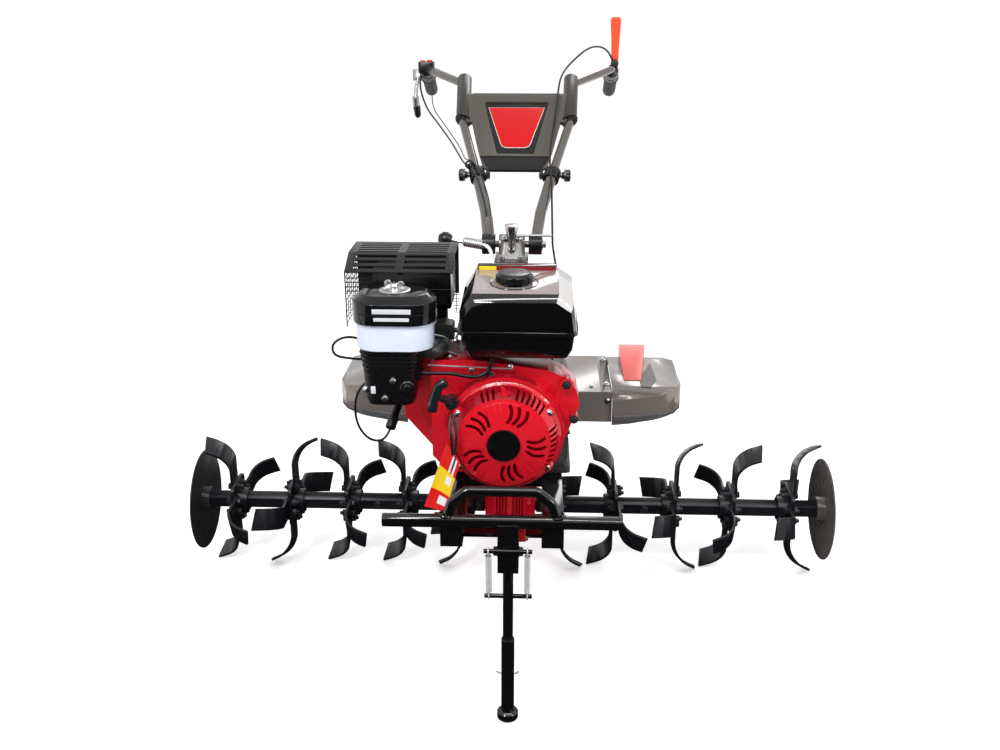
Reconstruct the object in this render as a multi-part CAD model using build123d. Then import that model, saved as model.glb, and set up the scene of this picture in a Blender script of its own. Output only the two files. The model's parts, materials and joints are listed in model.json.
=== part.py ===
from build123d import *
import math
import os

# Petrol rotavator with a front stand: an air-cooled engine on a rail frame drives a wide tine rotor
# through a narrow gear case, and the operator walks behind it at the handlebar.
# Millimetres. +X is the machine's left-to-right as seen from the front, +Y runs from the front stand
# back to the handlebar and +Z is up. The construction is about the rotor's axis (Y 0), with the floor
# at Z 0. At the end the whole machine moves along Y, so that its origin is the middle of its footprint.

os.makedirs("parts", exist_ok=True)

# ---- rotor ----
TIP_RADIUS = 178.0          # reach of the tines' corners about the rotor axis
FIRST_SET = 117.0           # machine centre to the innermost flange
SET_PITCH = 142.0           # flange to flange
FLANGE_SIZE = 104.0
FLANGE_THICK = 8.0
FLANGE_CORNER = 16.0
COLLAR_RADIUS = 29.0        # welded collar behind each flange
COLLAR_LENGTH = 24.0
BLADE_WIDTH = 48.0
BLADE_THICK = 6.0
BLADE_ROOT = 30.0           # shank's inner end from the axis
BEND_RADIUS = 60.0          # inside of the bend
BEND_ANGLE = 66.0
BEND_TILT = 22.0            # the bend line leans off the blade's width
BLADE_TAIL = 24.0           # straight end beyond the bend
TAIL_SKEW = 10.0            # the tail's end is cut off square by this angle
TUBE_FLATS = 40.0           # hexagon rotor tube, across its flats
TUBE_WALL = 3.9
AXLE_GAP = 0.1              # axle in tube, all round
SEAT_GAP = 0.05             # tine set on tube, all round
TUBE_START = 64.0           # tube's inner end from the machine centre
TUBE_END = 752.0
AXLE_HALF = 390.0
PIN_DIAMETER = 10.0
PIN_HEAD = 8.0              # a pin stands this far out of the tube
PIN_PLACES = (78.0, 330.0)
DISC_PLACE = 766.0          # guard disc's rim plane
DISC_RADIUS = 124.0
DISC_THICK = 3.0
DISC_DISH = 9.0
DISC_HUB_RADIUS = 30.0
HUB_CAP = 6.0

# ---- front stand and bumper ----
RAIL_TOP = 422.0            # the frame's top, which carries the engine
BUMPER_Y = -592.0
BUMPER_DIAMETER = 26.0
BUMPER_HALF = 226.0
HOOP_DIAMETER = 20.0
HOOP_RISE = 60.0            # bumper's centre line to the hoop's
HOOP_FOOT = 106.0
HOOP_SHOULDER = 66.0
STAND_DROP = 63.0           # bumper's centre line to the stand's pivot
STAND_X = 12.0              # the stand hangs a little right of the centre
STAND_LEAN = 1.8            # the foot stands this many degrees ahead of the pivot
LEG_DIAMETER = 20.0
SLEEVE_DIAMETER = 26.0
SLEEVE_TOP = 182.0
FOOT_DIAMETER = 42.0
FOOT_HEIGHT = 20.0
BRACKET_WIDTH = 40.0
BRACKET_WALL = 4.0
PIVOT_BOLT = 10.0
CROSSBAR_DIAMETER = 9.0
CROSSBAR_HALF = 46.0
CROSSBAR_DROP = 96.0        # pivot to the leg's crossbar
CROSSBAR_AHEAD = 22.0       # pivot to the bracket's crossbar, forwards
CROSSBAR_RISE = 12.0
SPRING_X = 37.0
SPRING_DIAMETER = 13.0

# ---- frame ----
RAIL_X = 96.0               # rail centre lines off the machine centre
RAIL_WIDTH = 42.0
RAIL_DEPTH = 40.0
RAIL_WALL = 4.0
RAIL_BACK = -78.0
TIE_DEPTH = 8.0
TIE_WIDTH = 36.0
TIE_DROP = 34.0             # rail top to the ties' undersides

# ---- gear case ----
CASE_HALF = 38.0            # half width of the case
CASE_RADIUS = 84.0          # round lower end about the rotor axis
CASE_TOP_RADIUS = 66.0
SEAM_PROUD = 7.0            # bolted seam round the case
SEAM_HALF = 6.0
BOSS_HALF = 61.0            # axle bosses' faces from the machine centre
BOSS_RADIUS = 42.0
SHAFT_HEIGHT = 133.0        # engine base to its crankshaft
UPPER_HALF = 62.0           # half width of the input housing
UPPER_BACK = 74.0
UPPER_RISE = 72.0           # crankshaft to the input housing's top
FACE_GAP = 4.0              # seam to the bell housing, as the seam widens downwards

# ---- engine, about its crankshaft ----
RECOIL_RADIUS = 111.0
RECOIL_DEPTH = 57.0
RECOIL_BACK = -455.0
RECOIL_WALL = 3.0
EMBLEM_RADIUS = 32.0
EMBLEM_THICK = 4.0
VENT_INNER = 47.0           # curved vents in the recoil cover's face
VENT_OUTER = 79.0
VENT_WIDTH = 6.5
VENT_GROUPS = 5
VENT_STEP = 13.0            # degrees between the vents of a group
PORT_ANGLE = math.radians(33.2)
GRIP_THICK = 19.0
DRUM_MARGIN = 6.0           # fan cover's drum outside the recoil cover
FAN_FRONT = -424.0
FAN_SIDE_FRONT = -384.0     # face of the cover beside the air filter
FAN_BACK = -352.0
BLOCK_BACK = -196.0
CYLINDER_LIFT = 25.0        # the cylinder leans to the left, this many degrees above level
CYLINDER_LENGTH = 150.0
FIN_COUNT = 7
FIN_STEP = 13.0
FIN_THICK = 4.0
VALVE_COVER_DEPTH = 28.0

# ---- fuel tank ----
TANK_CLEAR = 155.0          # crankshaft to the tank's underside
TANK_FRONT = -466.0
TANK_BACK = -265.0
TANK_LEFT = -92.0
TANK_RIGHT = 140.0
BELLY_HEIGHT = 48.0
LIP_HEIGHT = 8.0            # crimped seam
LIP_PROUD = 4.0
SHELL_FRONT = 72.0          # shell's rise above the seam at its front edge
SHELL_BACK = 82.0
CAP_X = 16.0
CAP_Y = -382.0
CAP_RADIUS = 36.5
CAP_HEIGHT = 18.0
NECK_RADIUS = 29.0

# ---- air filter, muffler ----
FILTER_X = -212.0
FILTER_Y = -421.0
FILTER_FLOOR = 614.0
BASE_HEIGHT = 114.0
RING_HEIGHT = 52.0
LID_HEIGHT = 41.0
LID_SHOULDER = 13.0
LID_WIDTH = 160.0
LID_DEPTH = 118.0
LID_CORNER = 50.0
RIB_COUNT = 5
MUFFLER_LEFT = -268.0
MUFFLER_RIGHT = -112.0
MUFFLER_FRONT = -330.0
MUFFLER_BACK = -206.0
MUFFLER_LOW = 768.0
MUFFLER_HIGH = 856.0
GUARD_GAP = 15.0            # air round the muffler inside its guard
GUARD_SHEET = 2.5
GUARD_LEFT_GAP = 54.0
GUARD_LEG = 110.0           # side sheet's depth below the roof
SLOT_COUNT = 8
SLOT_WIDTH = 8.0

# ---- fenders ----
FENDER_TOP = 515.0
FENDER_FRONT = -112.0
FENDER_BACK = 142.0
PLATE_EDGE = 234.0          # outer edge of the flat plate
APRON_DROP = 74.0
WING_WIDTH = 160.0
WING_RISE = 6.0
WING_WALL = 3.0
FENDER_SHEET = 3.0
INSERT_FRONT = -52.0
INSERT_BACK = 96.0
INSERT_RISE = 42.0

# ---- rear hitch and depth stake ----
HITCH_LOW = 330.0
HITCH_HIGH = 410.0
HITCH_WIDTH = 52.0
LUG_THICK = 12.0
HITCH_PIN_Y = 122.0
HITCH_BORE = 17.0
STAKE_Y = 168.0
STAKE_SOCKET = 36.0         # socket block's depth along Y
STAKE_WIDTH = 30.0
STAKE_THICK = 12.0
STAKE_GAP = 0.5
STAKE_LOW = 215.0
STAKE_LENGTH = 420.0
STAKE_HOLES = 6
STAKE_HOLE_PITCH = 28.0
STAKE_HOLE = 9.0

# ---- handlebar ----
TILT_Y = 40.0               # handlebar's tilt axis
TILT_Z = 821.0
TILT_BOLT = 16.0
TILT_GAP = 0.05
CLAMP_X = 54.0              # handlebar's side clamps off the machine centre
CLAMP_HALF = 15.0
CLAMP_RADIUS = 23.0
HEAD_HALF = 30.0            # column head between the clamps
BAR_DIAMETER = 27.0
UPPER_DIAMETER = 22.0
GRIP_DIAMETER = 36.0
GRIP_LENGTH = 116.0
SHROUD_DIAMETER = 38.0
CLAMP_AT = (92, 250, 946)   # where the upper bar enters the lower one
SHROUD_LENGTH = 168.0
PANEL_Y = 462.0             # a point on the dash panel's back face
PANEL_Z = 1102.0
PANEL_SLOPE = 36.9
PANEL_THICK = 10.0
PANEL_TOP = 20.0            # heights up the panel's slope from that point
PANEL_LOW = -205.0
LIP_END = -250.0
LIP_THICK = 7.0
RECESS_DEPTH = 4.0
CABLE = 5.0
THIN_CABLE = 3.0
LEAD = 5.0
HOSE = 8.0

CRANK_Z = RAIL_TOP + SHAFT_HEIGHT
BUMPER_Z = RAIL_TOP + BUMPER_DIAMETER / 2 - 1
PIVOT_Z = BUMPER_Z - STAND_DROP


def rod(start, end, diameter):
    """Round bar between two points."""
    a = Vector(*start)
    b = Vector(*end)
    return extrude(Plane(origin=a, z_dir=b - a) * Circle(diameter / 2), (b - a).length)


def block(x0, x1, y0, y1, z0, z1):
    """Box between two opposite corners."""
    return Pos((x0 + x1) / 2, (y0 + y1) / 2, (z0 + z1) / 2) * Box(abs(x1 - x0), abs(y1 - y0), abs(z1 - z0))


def bent_bar(points, radii, diameter):
    """Round bar along straight runs joined by tangent arcs."""
    path = FilletPolyline(*points, radius=radii)
    first = Vector(*points[1]) - Vector(*points[0])
    section = Plane(origin=points[0], z_dir=first) * Circle(diameter / 2)
    return sweep(section, path=path)


def cord(name, points, diameter):
    """Limp round cord: each arc takes 0.45 of the shorter run beside its point."""
    radii = []
    for before, at, after in zip(points, points[1:], points[2:]):
        a = Vector(*at) - Vector(*before)
        b = Vector(*after) - Vector(*at)
        turn = math.radians(a.get_angle(b))
        radii.append(0.45 * min(a.length, b.length) / math.tan(turn / 2))
    solid = bent_bar(points, radii, diameter)
    length = solid.volume / (math.pi * diameter ** 2 / 4)
    print(f"{name}: length {length:.0f}, least radius {min(radii):.0f}, diameter {diameter:g}")
    return solid


def hex_bar(x0, x1, flats):
    """Hexagon bar along X with flats on top and bottom."""
    plane = Plane(origin=(x0, 0, 0), x_dir=(0, 1, 0), z_dir=(1, 0, 0))
    return extrude(plane * RegularPolygon(flats / 2, 6, major_radius=False, rotation=30), x1 - x0)


def disc_x(x0, x1, radius, y=0.0, z=0.0):
    """Round slab about an axis along X."""
    low, high = sorted((x0, x1))
    return rod((low, y, z), (high, y, z), 2 * radius)


def turned(profile, origin, axis):
    """Solid of revolution from (radius, height) points, standing at origin along axis."""
    face = make_face(Polyline(*[(r, 0, h) for r, h in profile], close=True))
    return Plane(origin=origin, z_dir=axis).location * revolve(face, Axis.Z, 360)


def side_plate(outline, x0, x1):
    """Plate with an outline of (y, z) points, between two X values."""
    low, high = sorted((x0, x1))
    face = make_face(Polyline(*[(low, y, z) for y, z in outline], close=True))
    return extrude(face, high - low, dir=(1, 0, 0))


def front_plate(outline, y0, y1):
    """Plate with an outline of (x, z) points, between two Y values."""
    face = make_face(Polyline(*[(x, y0, z) for x, z in outline], close=True))
    return extrude(face, y1 - y0, dir=(0, 1, 0))


def flat_plate(outline, z0, z1):
    """Plate with an outline of (x, y) points, between two Z values."""
    face = make_face(Polyline(*[(x, y, z0) for x, y in outline], close=True))
    return extrude(face, z1 - z0, dir=(0, 0, 1))


def both_sides(solid):
    """A solid and its mirror image across the machine's centre plane."""
    return solid + mirror(solid, about=Plane.YZ)


parts = {}

# ---- tine sets ----
BEND_RISE = BLADE_WIDTH / 2 * math.tan(math.radians(BEND_TILT))
BEND = math.radians(BEND_ANGLE)
BEND_OUTER = BEND_RADIUS + BLADE_THICK
BEND_START = math.sqrt(TIP_RADIUS ** 2 - (BLADE_WIDTH / 2) ** 2) - BEND_RISE
BEND_START -= BEND_OUTER * math.sin(BEND) + BLADE_TAIL * math.cos(BEND)


def blade(bend, lead):
    """Blade that points up, with its shank on the flange's face on the side it bends to."""
    half = BLADE_WIDTH / 2
    shank = side_plate(
        [(-half, BLADE_ROOT), (half, BLADE_ROOT), (half, BEND_START + BEND_RISE), (-half, BEND_START - BEND_RISE)],
        0, BLADE_THICK)

    def on_bend(radius, angle):
        return Vector(BEND_OUTER - radius * math.cos(angle), 0, radius * math.sin(angle))

    along = Vector(math.sin(BEND), 0, math.cos(BEND)) * BLADE_TAIL
    outer_end = on_bend(BEND_OUTER, BEND)
    inner_end = on_bend(BEND_RADIUS, BEND)
    section = make_face([
        ThreePointArc(on_bend(BEND_OUTER, 0), on_bend(BEND_OUTER, BEND / 2), outer_end),
        Line(outer_end, outer_end + along),
        Line(outer_end + along, inner_end + along),
        Line(inner_end + along, inner_end),
        ThreePointArc(inner_end, on_bend(BEND_RADIUS, BEND / 2), on_bend(BEND_RADIUS, 0)),
        Line(on_bend(BEND_RADIUS, 0), on_bend(BEND_OUTER, 0)),
    ])
    wide = BLADE_WIDTH / math.cos(math.radians(BEND_TILT))
    curved = extrude(section, wide / 2, dir=(0, 1, 0), both=True)
    skew = math.radians(TAIL_SKEW)
    tip = (outer_end + inner_end) * 0.5 + along
    unit = along.normalized()
    across = Vector(0, 1, 0)
    corner = tip + across * (wide / 2)
    cut = Plane(
        origin=corner, x_dir=across * math.cos(skew) + unit * math.sin(skew),
        z_dir=unit * math.cos(skew) - across * math.sin(skew))
    curved -= extrude(cut * Rectangle(4 * wide, 4 * wide), wide)
    curved = Pos(0, 0, BEND_START) * Rot(X=BEND_TILT) * curved
    tine = Pos(FLANGE_THICK / 2, 0, 0) * (shank + curved)
    if lead < 0:
        tine = mirror(tine, about=Plane.XZ)
    return tine if bend > 0 else mirror(tine, about=Plane.YZ)


def tine_set(x, side, lead, bends):
    """Flange with four curved blades and a welded collar, on the rotor's hexagon tube."""
    face = Plane(origin=(-FLANGE_THICK / 2, 0, 0), x_dir=(0, 1, 0), z_dir=(1, 0, 0))
    solid = extrude(face * RectangleRounded(FLANGE_SIZE, FLANGE_SIZE, FLANGE_CORNER), FLANGE_THICK)
    for quarter, bend in enumerate(bends):
        solid += Rot(X=90 * quarter) * blade(bend, lead)
    solid += disc_x(0, -side * (FLANGE_THICK / 2 + COLLAR_LENGTH), COLLAR_RADIUS)
    solid -= hex_bar(-2 * COLLAR_LENGTH, 2 * COLLAR_LENGTH, TUBE_FLATS + 2 * SEAT_GAP)
    return Pos(x, 0, 0) * solid


# name, side, place in the row, lead and the bends of the blades in the order up, front, down, back
# (lead -1 is a set turned end for end; bend +1 is to the machine's right, -1 to its left)
TINE_SETS = [
    ("tine_set_left_1", -1, 0, -1, (-1, -1, -1, 1)),
    ("tine_set_left_2", -1, 1, 1, (-1, 1, -1, 1)),
    ("tine_set_left_3", -1, 2, 1, (-1, 1, -1, 1)),
    ("tine_set_left_4", -1, 3, -1, (1, -1, -1, 1)),
    ("tine_set_left_5", -1, 4, 1, (-1, 1, -1, 1)),
    ("tine_set_right_1", 1, 0, -1, (-1, -1, 1, 1)),
    ("tine_set_right_2", 1, 1, 1, (-1, 1, -1, -1)),
    ("tine_set_right_3", 1, 2, -1, (1, -1, 1, -1)),
    ("tine_set_right_4", 1, 3, 1, (1, -1, -1, -1)),
    ("tine_set_right_5", 1, 4, -1, (1, -1, 1, 1)),
]
sets = {}
for name, side, place, lead, bends in TINE_SETS:
    sets[name] = tine_set(side * (FIRST_SET + SET_PITCH * place), side, lead, bends)

# The lowest tips stand on the floor, which sets the height of the rotor's axis.
AXIS_Z = -min(solid.bounding_box().min.Z for solid in sets.values())
at_axis = Pos(0, 0, AXIS_Z)
for name, solid in sets.items():
    parts[name] = at_axis * solid

# ---- rotor axle, tubes and guard discs ----
TUBE_BORE = TUBE_FLATS - 2 * TUBE_WALL
AXLE_FLATS = TUBE_BORE - 2 * AXLE_GAP
axle = hex_bar(-AXLE_HALF, AXLE_HALF, AXLE_FLATS)
axle = axle - disc_x(-BOSS_HALF, BOSS_HALF, AXLE_FLATS) + disc_x(-BOSS_HALF, BOSS_HALF, AXLE_FLATS / 2)
for side in (-1, 1):
    for place in PIN_PLACES:
        x = side * place
        reach = TUBE_FLATS / 2 + PIN_HEAD
        axle += rod((x, -reach, 0), (x, reach, 0), PIN_DIAMETER)
parts["rotor_axle"] = at_axis * axle

for label, side in (("left", -1), ("right", 1)):
    ends = sorted((side * TUBE_START, side * TUBE_END))
    tube = hex_bar(ends[0], ends[1], TUBE_FLATS) - hex_bar(ends[0] - 1, ends[1] + 1, TUBE_BORE)
    for place in PIN_PLACES:
        x = side * place
        tube -= rod((x, -TUBE_FLATS, 0), (x, TUBE_FLATS, 0), PIN_DIAMETER + 2 * AXLE_GAP)
    parts[f"rotor_tube_{label}"] = at_axis * tube
    hub = TUBE_END - DISC_PLACE
    parts[f"guard_disc_{label}"] = turned(
        [(0, hub), (DISC_HUB_RADIUS, hub), (DISC_HUB_RADIUS, DISC_DISH - DISC_THICK), (DISC_RADIUS, 0),
         (DISC_RADIUS, DISC_THICK), (DISC_HUB_RADIUS + 8, DISC_DISH), (14, DISC_DISH), (14, DISC_DISH + HUB_CAP),
         (0, DISC_DISH + HUB_CAP)],
        (side * DISC_PLACE, 0, AXIS_Z), (side, 0, 0))

# ---- gear case ----
# Two bolted halves carry the drive down to the axle. The lower end is round about the axle, and the
# input housing on top stands behind the engine's clutch.
CASE_TOP_Z = CRANK_Z - 30
UPPER_FRONT = -(CASE_TOP_RADIUS + SEAM_PROUD + FACE_GAP)


def case_slab(grow, half):
    """The case's outline grown by an offset, across the machine's centre plane."""
    plane = Plane(origin=(-half, 0, 0), x_dir=(0, 1, 0), z_dir=(1, 0, 0))
    low = plane * Pos(0, AXIS_Z) * Circle(CASE_RADIUS + grow)
    high = plane * Pos(0, CASE_TOP_Z) * Circle(CASE_TOP_RADIUS + grow)
    spread = math.asin((CASE_RADIUS - CASE_TOP_RADIUS) / (CASE_TOP_Z - AXIS_Z))
    sides = []
    for radius, z in ((CASE_RADIUS + grow, AXIS_Z), (CASE_TOP_RADIUS + grow, CASE_TOP_Z)):
        sides.append((radius * math.cos(spread), z + radius * math.sin(spread)))
    (wide, low_z), (narrow, high_z) = sides
    web = make_face(Polyline((-half, -wide, low_z), (-half, wide, low_z), (-half, narrow, high_z),
                             (-half, -narrow, high_z), close=True))
    return extrude(low, 2 * half) + extrude(high, 2 * half) + extrude(web, 2 * half, dir=(1, 0, 0))


case = case_slab(0, CASE_HALF) + case_slab(SEAM_PROUD, SEAM_HALF)
upper = block(-UPPER_HALF, UPPER_HALF, UPPER_FRONT, UPPER_BACK, CRANK_Z - 85, CRANK_Z + UPPER_RISE)
case += fillet(upper.edges().filter_by(Axis.Y), 24)
bolt_turns = [30 + 40 * index for index in range(8)]
for side in (-1, 1):
    case += turned([(0, 0), (62, 0), (BOSS_RADIUS, BOSS_HALF - CASE_HALF), (0, BOSS_HALF - CASE_HALF)],
                   (side * CASE_HALF, 0, AXIS_Z), (side, 0, 0))
    for turn in bolt_turns:
        angle = math.radians(turn - 80)
        y = (CASE_RADIUS - 12) * math.sin(angle)
        z = AXIS_Z - (CASE_RADIUS - 12) * math.cos(angle)
        case += disc_x(side * (CASE_HALF - 8), side * (CASE_HALF + 4), 9, y, z)
case -= disc_x(-BOSS_HALF - 1, BOSS_HALF + 1, AXLE_FLATS / 2 + SEAT_GAP, 0, AXIS_Z)
parts["gear_case"] = case

# bell housing between the engine's back and the input housing
bell_length = UPPER_FRONT - BLOCK_BACK - 4
bell = turned(
    [(0, 0), (70, 0), (70, 14), (58, 20), (58, 58), (74, 74), (92, 80), (92, bell_length), (0, bell_length)],
    (0, UPPER_FRONT, CRANK_Z), (0, -1, 0))
for index in range(8):
    fin = block(-3, 3, UPPER_FRONT - 76, UPPER_FRONT - 12, CRANK_Z + 50, CRANK_Z + 76)
    bell += Pos(0, 0, CRANK_Z) * Rot(Y=45 * index + 22.5) * Pos(0, 0, -CRANK_Z) * fin
parts["clutch_housing"] = bell

# ---- frame rails, bumper and stand bracket ----
bumper = rod((-BUMPER_HALF, BUMPER_Y, BUMPER_Z), (BUMPER_HALF, BUMPER_Y, BUMPER_Z), BUMPER_DIAMETER)
rail_out = RAIL_X + RAIL_WIDTH / 2
rail_in = RAIL_X - RAIL_WIDTH / 2
rail = block(rail_in, rail_out, BUMPER_Y - 6, RAIL_BACK, RAIL_TOP - RAIL_DEPTH, RAIL_TOP)
rail -= block(rail_in + RAIL_WALL, rail_out - RAIL_WALL, BUMPER_Y + 6, RAIL_BACK - 10,
              RAIL_TOP - RAIL_DEPTH - 1, RAIL_TOP - RAIL_WALL)
rail += block(UPPER_HALF + 1, UPPER_HALF + 9, RAIL_BACK - 60, 44, RAIL_TOP - TIE_DROP, RAIL_TOP)
rail += block(UPPER_HALF + 1, UPPER_HALF + 9, -44, 44, RAIL_TOP - TIE_DROP, RAIL_TOP + 76)
frame = both_sides(rail)
for y in (BUMPER_Y + 40, -330, RAIL_BACK - 40):
    frame += block(-RAIL_X, RAIL_X, y - TIE_WIDTH / 2, y + TIE_WIDTH / 2, RAIL_TOP - TIE_DROP,
                   RAIL_TOP - TIE_DROP + TIE_DEPTH)
parts["frame"] = frame - bumper

hoop_z = BUMPER_Z + HOOP_RISE
hoop = bent_bar(
    [(-HOOP_FOOT, BUMPER_Y, BUMPER_Z), (-HOOP_FOOT + 12, BUMPER_Y, hoop_z - 22), (-HOOP_SHOULDER, BUMPER_Y + 6, hoop_z),
     (HOOP_SHOULDER, BUMPER_Y + 6, hoop_z), (HOOP_FOOT - 12, BUMPER_Y, hoop_z - 22), (HOOP_FOOT, BUMPER_Y, BUMPER_Z)],
    18, HOOP_DIAMETER)
parts["bumper"] = bumper + hoop

beside = Pos(STAND_X, 0, 0)
half = BRACKET_WIDTH / 2
throat_y = BUMPER_Y - LEG_DIAMETER / 2 - 4
bracket = side_plate(
    [(throat_y - BRACKET_WALL, BUMPER_Z), (throat_y - BRACKET_WALL, PIVOT_Z - 38), (BUMPER_Y + 6, PIVOT_Z - 38),
     (BUMPER_Y + 20, PIVOT_Z - 12), (BUMPER_Y + 20, BUMPER_Z)], -half, half)
bracket -= block(-half + BRACKET_WALL, half - BRACKET_WALL, throat_y, BUMPER_Y + 40, PIVOT_Z - 60, PIVOT_Z + 20)
bracket += block(-half, half, BUMPER_Y + 10, BUMPER_Y + 62, RAIL_TOP - TIE_DROP + TIE_DEPTH,
                 RAIL_TOP - TIE_DROP + TIE_DEPTH + 6)
bracket -= bumper
bar_y = BUMPER_Y - CROSSBAR_AHEAD
bar_z = PIVOT_Z + CROSSBAR_RISE
bracket += rod((-CROSSBAR_HALF, bar_y, bar_z), (CROSSBAR_HALF, bar_y, bar_z), CROSSBAR_DIAMETER)
bracket += rod((-half - 8, BUMPER_Y, PIVOT_Z), (half + 8, BUMPER_Y, PIVOT_Z), PIVOT_BOLT)
parts["stand_bracket"] = beside * bracket

# ---- stand leg, foot and springs ----
lean_rad = math.radians(STAND_LEAN)


def along_leg(distance, x=0.0):
    """Point on the leg's centre line, a distance below the pivot."""
    return (x, BUMPER_Y - distance * math.sin(lean_rad), PIVOT_Z - distance * math.cos(lean_rad))


foot_drop = (PIVOT_Z - FOOT_HEIGHT) / math.cos(lean_rad)
sleeve_drop = PIVOT_Z - SLEEVE_TOP
leg = rod(along_leg(-4), along_leg(sleeve_drop + 60), LEG_DIAMETER)
leg += disc_x(-half + BRACKET_WALL + 0.5, half - BRACKET_WALL - 0.5, 12, BUMPER_Y, PIVOT_Z)
leg -= disc_x(-half, half, PIVOT_BOLT / 2 + SEAT_GAP, BUMPER_Y, PIVOT_Z)
leg += rod(along_leg(CROSSBAR_DROP, -CROSSBAR_HALF), along_leg(CROSSBAR_DROP, CROSSBAR_HALF), CROSSBAR_DIAMETER)
parts["stand_leg"] = beside * leg

sleeve = rod(along_leg(sleeve_drop), along_leg(foot_drop), SLEEVE_DIAMETER)
sleeve -= rod(along_leg(sleeve_drop - 1), along_leg(sleeve_drop + 60), LEG_DIAMETER)
sleeve += turned(
    [(0, 0), (FOOT_DIAMETER / 2 - 2, 0), (FOOT_DIAMETER / 2, 2), (FOOT_DIAMETER / 2, FOOT_HEIGHT - 5),
     (SLEEVE_DIAMETER / 2 + 2, FOOT_HEIGHT), (0, FOOT_HEIGHT)],
    (0, along_leg(foot_drop)[1], 0), (0, 0, 1))
parts["stand_foot"] = beside * sleeve

spring_top = Vector(0, bar_y, bar_z)
spring_low = Vector(*along_leg(CROSSBAR_DROP))
spring_axis = (spring_low - spring_top).normalized()
for label, side in (("left", -1), ("right", 1)):
    shift = Vector(side * SPRING_X, 0, 0)
    a = spring_top + shift + spring_axis * (CROSSBAR_DIAMETER / 2 + 1)
    b = spring_low + shift - spring_axis * (CROSSBAR_DIAMETER / 2 + 6)
    parts[f"stand_spring_{label}"] = beside * rod(tuple(a), tuple(b), SPRING_DIAMETER)

# ---- engine block and cylinder ----
crank = block(-112, 128, FAN_BACK, BLOCK_BACK, RAIL_TOP + 14, CRANK_Z + 80)
crank = fillet(crank.edges().filter_by(Axis.Y), 32)
feet = block(-122, 134, FAN_BACK + 2, BLOCK_BACK + 8, RAIL_TOP, RAIL_TOP + 16)
crank += fillet(feet.edges().filter_by(Axis.Z), 10)
crank += rod((0, BLOCK_BACK - 4, CRANK_Z), (0, BLOCK_BACK + 4, CRANK_Z), 150)
crank += turned([(0, 0), (14, 0), (14, 22), (19, 22), (19, 34), (0, 34)], (96, FAN_BACK + 60, CRANK_Z - 60), (0.94, 0, 0.34))
parts["crankcase"] = crank

lift = math.radians(CYLINDER_LIFT)
cylinder_at = Plane(
    origin=(-70, (FAN_BACK + BLOCK_BACK) / 2, CRANK_Z + 30), x_dir=(0, 1, 0),
    z_dir=(-math.cos(lift), 0, math.sin(lift)))
barrel = extrude(cylinder_at * RectangleRounded(104, 112, 12), CYLINDER_LENGTH)
for index in range(FIN_COUNT):
    fin_at = cylinder_at.offset(CYLINDER_LENGTH - 24 - FIN_STEP * index)
    barrel += extrude(fin_at * RectangleRounded(134, 148, 14), FIN_THICK)
plug_start = (-220, -326, CRANK_Z + 27)
plug_end = Vector(-238, -370, CRANK_Z - 27)
plug_axis = (plug_end - Vector(*plug_start)).normalized()
barrel += rod(plug_start, tuple(plug_end), 15) + rod(tuple(plug_end - plug_axis * 24), tuple(plug_end), 20)
parts["cylinder"] = barrel - crank
valve_cover = extrude(cylinder_at.offset(CYLINDER_LENGTH) * RectangleRounded(108, 116, 20), VALVE_COVER_DEPTH)
parts["valve_cover"] = fillet(valve_cover.faces().sort_by(Axis.X)[0].edges(), 8)

# ---- fan cover and recoil starter ----
# The cover's drum runs round the flywheel, and its left side reaches up over the cylinder.
drum_radius = RECOIL_RADIUS + DRUM_MARGIN
outline = [(x, CRANK_Z + z) for x, z in
           [(-204, 6), (-206, 138), (-62, 142), (84, 122), (113, 110), (140, 82), (147, 52), (120, -20), (60, -92),
            (-60, -100), (-118, -96)]]
cover = front_plate(outline, FAN_SIDE_FRONT, FAN_BACK)
cover += front_plate(outline, FAN_FRONT, FAN_BACK) & block(-146, 200, FAN_FRONT, FAN_BACK, RAIL_TOP, CRANK_Z + 200)
cover = fillet(cover.edges().filter_by(Axis.Y).filter_by(lambda e: e.center().X > -150), 9)
cover += rod((0, RECOIL_BACK, CRANK_Z), (0, FAN_BACK, CRANK_Z), 2 * drum_radius)
for x, z, size in ((-28, 112, 20), (120, 96, 26), (136, 24, 18)):
    cover += rod((x, FAN_FRONT - 10, CRANK_Z + z), (x, FAN_FRONT + 20, CRANK_Z + z), size)
parts["fan_cover"] = cover

depth = RECOIL_DEPTH
skin = [(RECOIL_RADIUS, 0), (RECOIL_RADIUS, 7), (RECOIL_RADIUS - 5, 10), (RECOIL_RADIUS - 9, 30),
        (RECOIL_RADIUS - 20, 46), (RECOIL_RADIUS - 24, 47), (RECOIL_RADIUS - 30, 50), (40, depth - 1), (35, depth)]
wall = RECOIL_WALL
inside = [(r - wall, h - wall) for r, h in skin[1:]]
inside[0] = (RECOIL_RADIUS - wall - 4, -1)
recoil = turned([(0, 0)] + skin + [(0, depth)], (0, RECOIL_BACK, CRANK_Z), (0, -1, 0))
recoil -= turned([(0, -1)] + inside + [(0, depth - wall)], (0, RECOIL_BACK, CRANK_Z), (0, -1, 0))
face_at = Plane(origin=(0, RECOIL_BACK - depth - 2, CRANK_Z), x_dir=(1, 0, 0), z_dir=(0, 1, 0))


def round_cover(solid, angle):
    """Turn a solid about the crankshaft, counterclockwise from the machine's right."""
    return Pos(0, 0, CRANK_Z) * Rot(Y=-angle) * Pos(0, 0, -CRANK_Z) * solid


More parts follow.
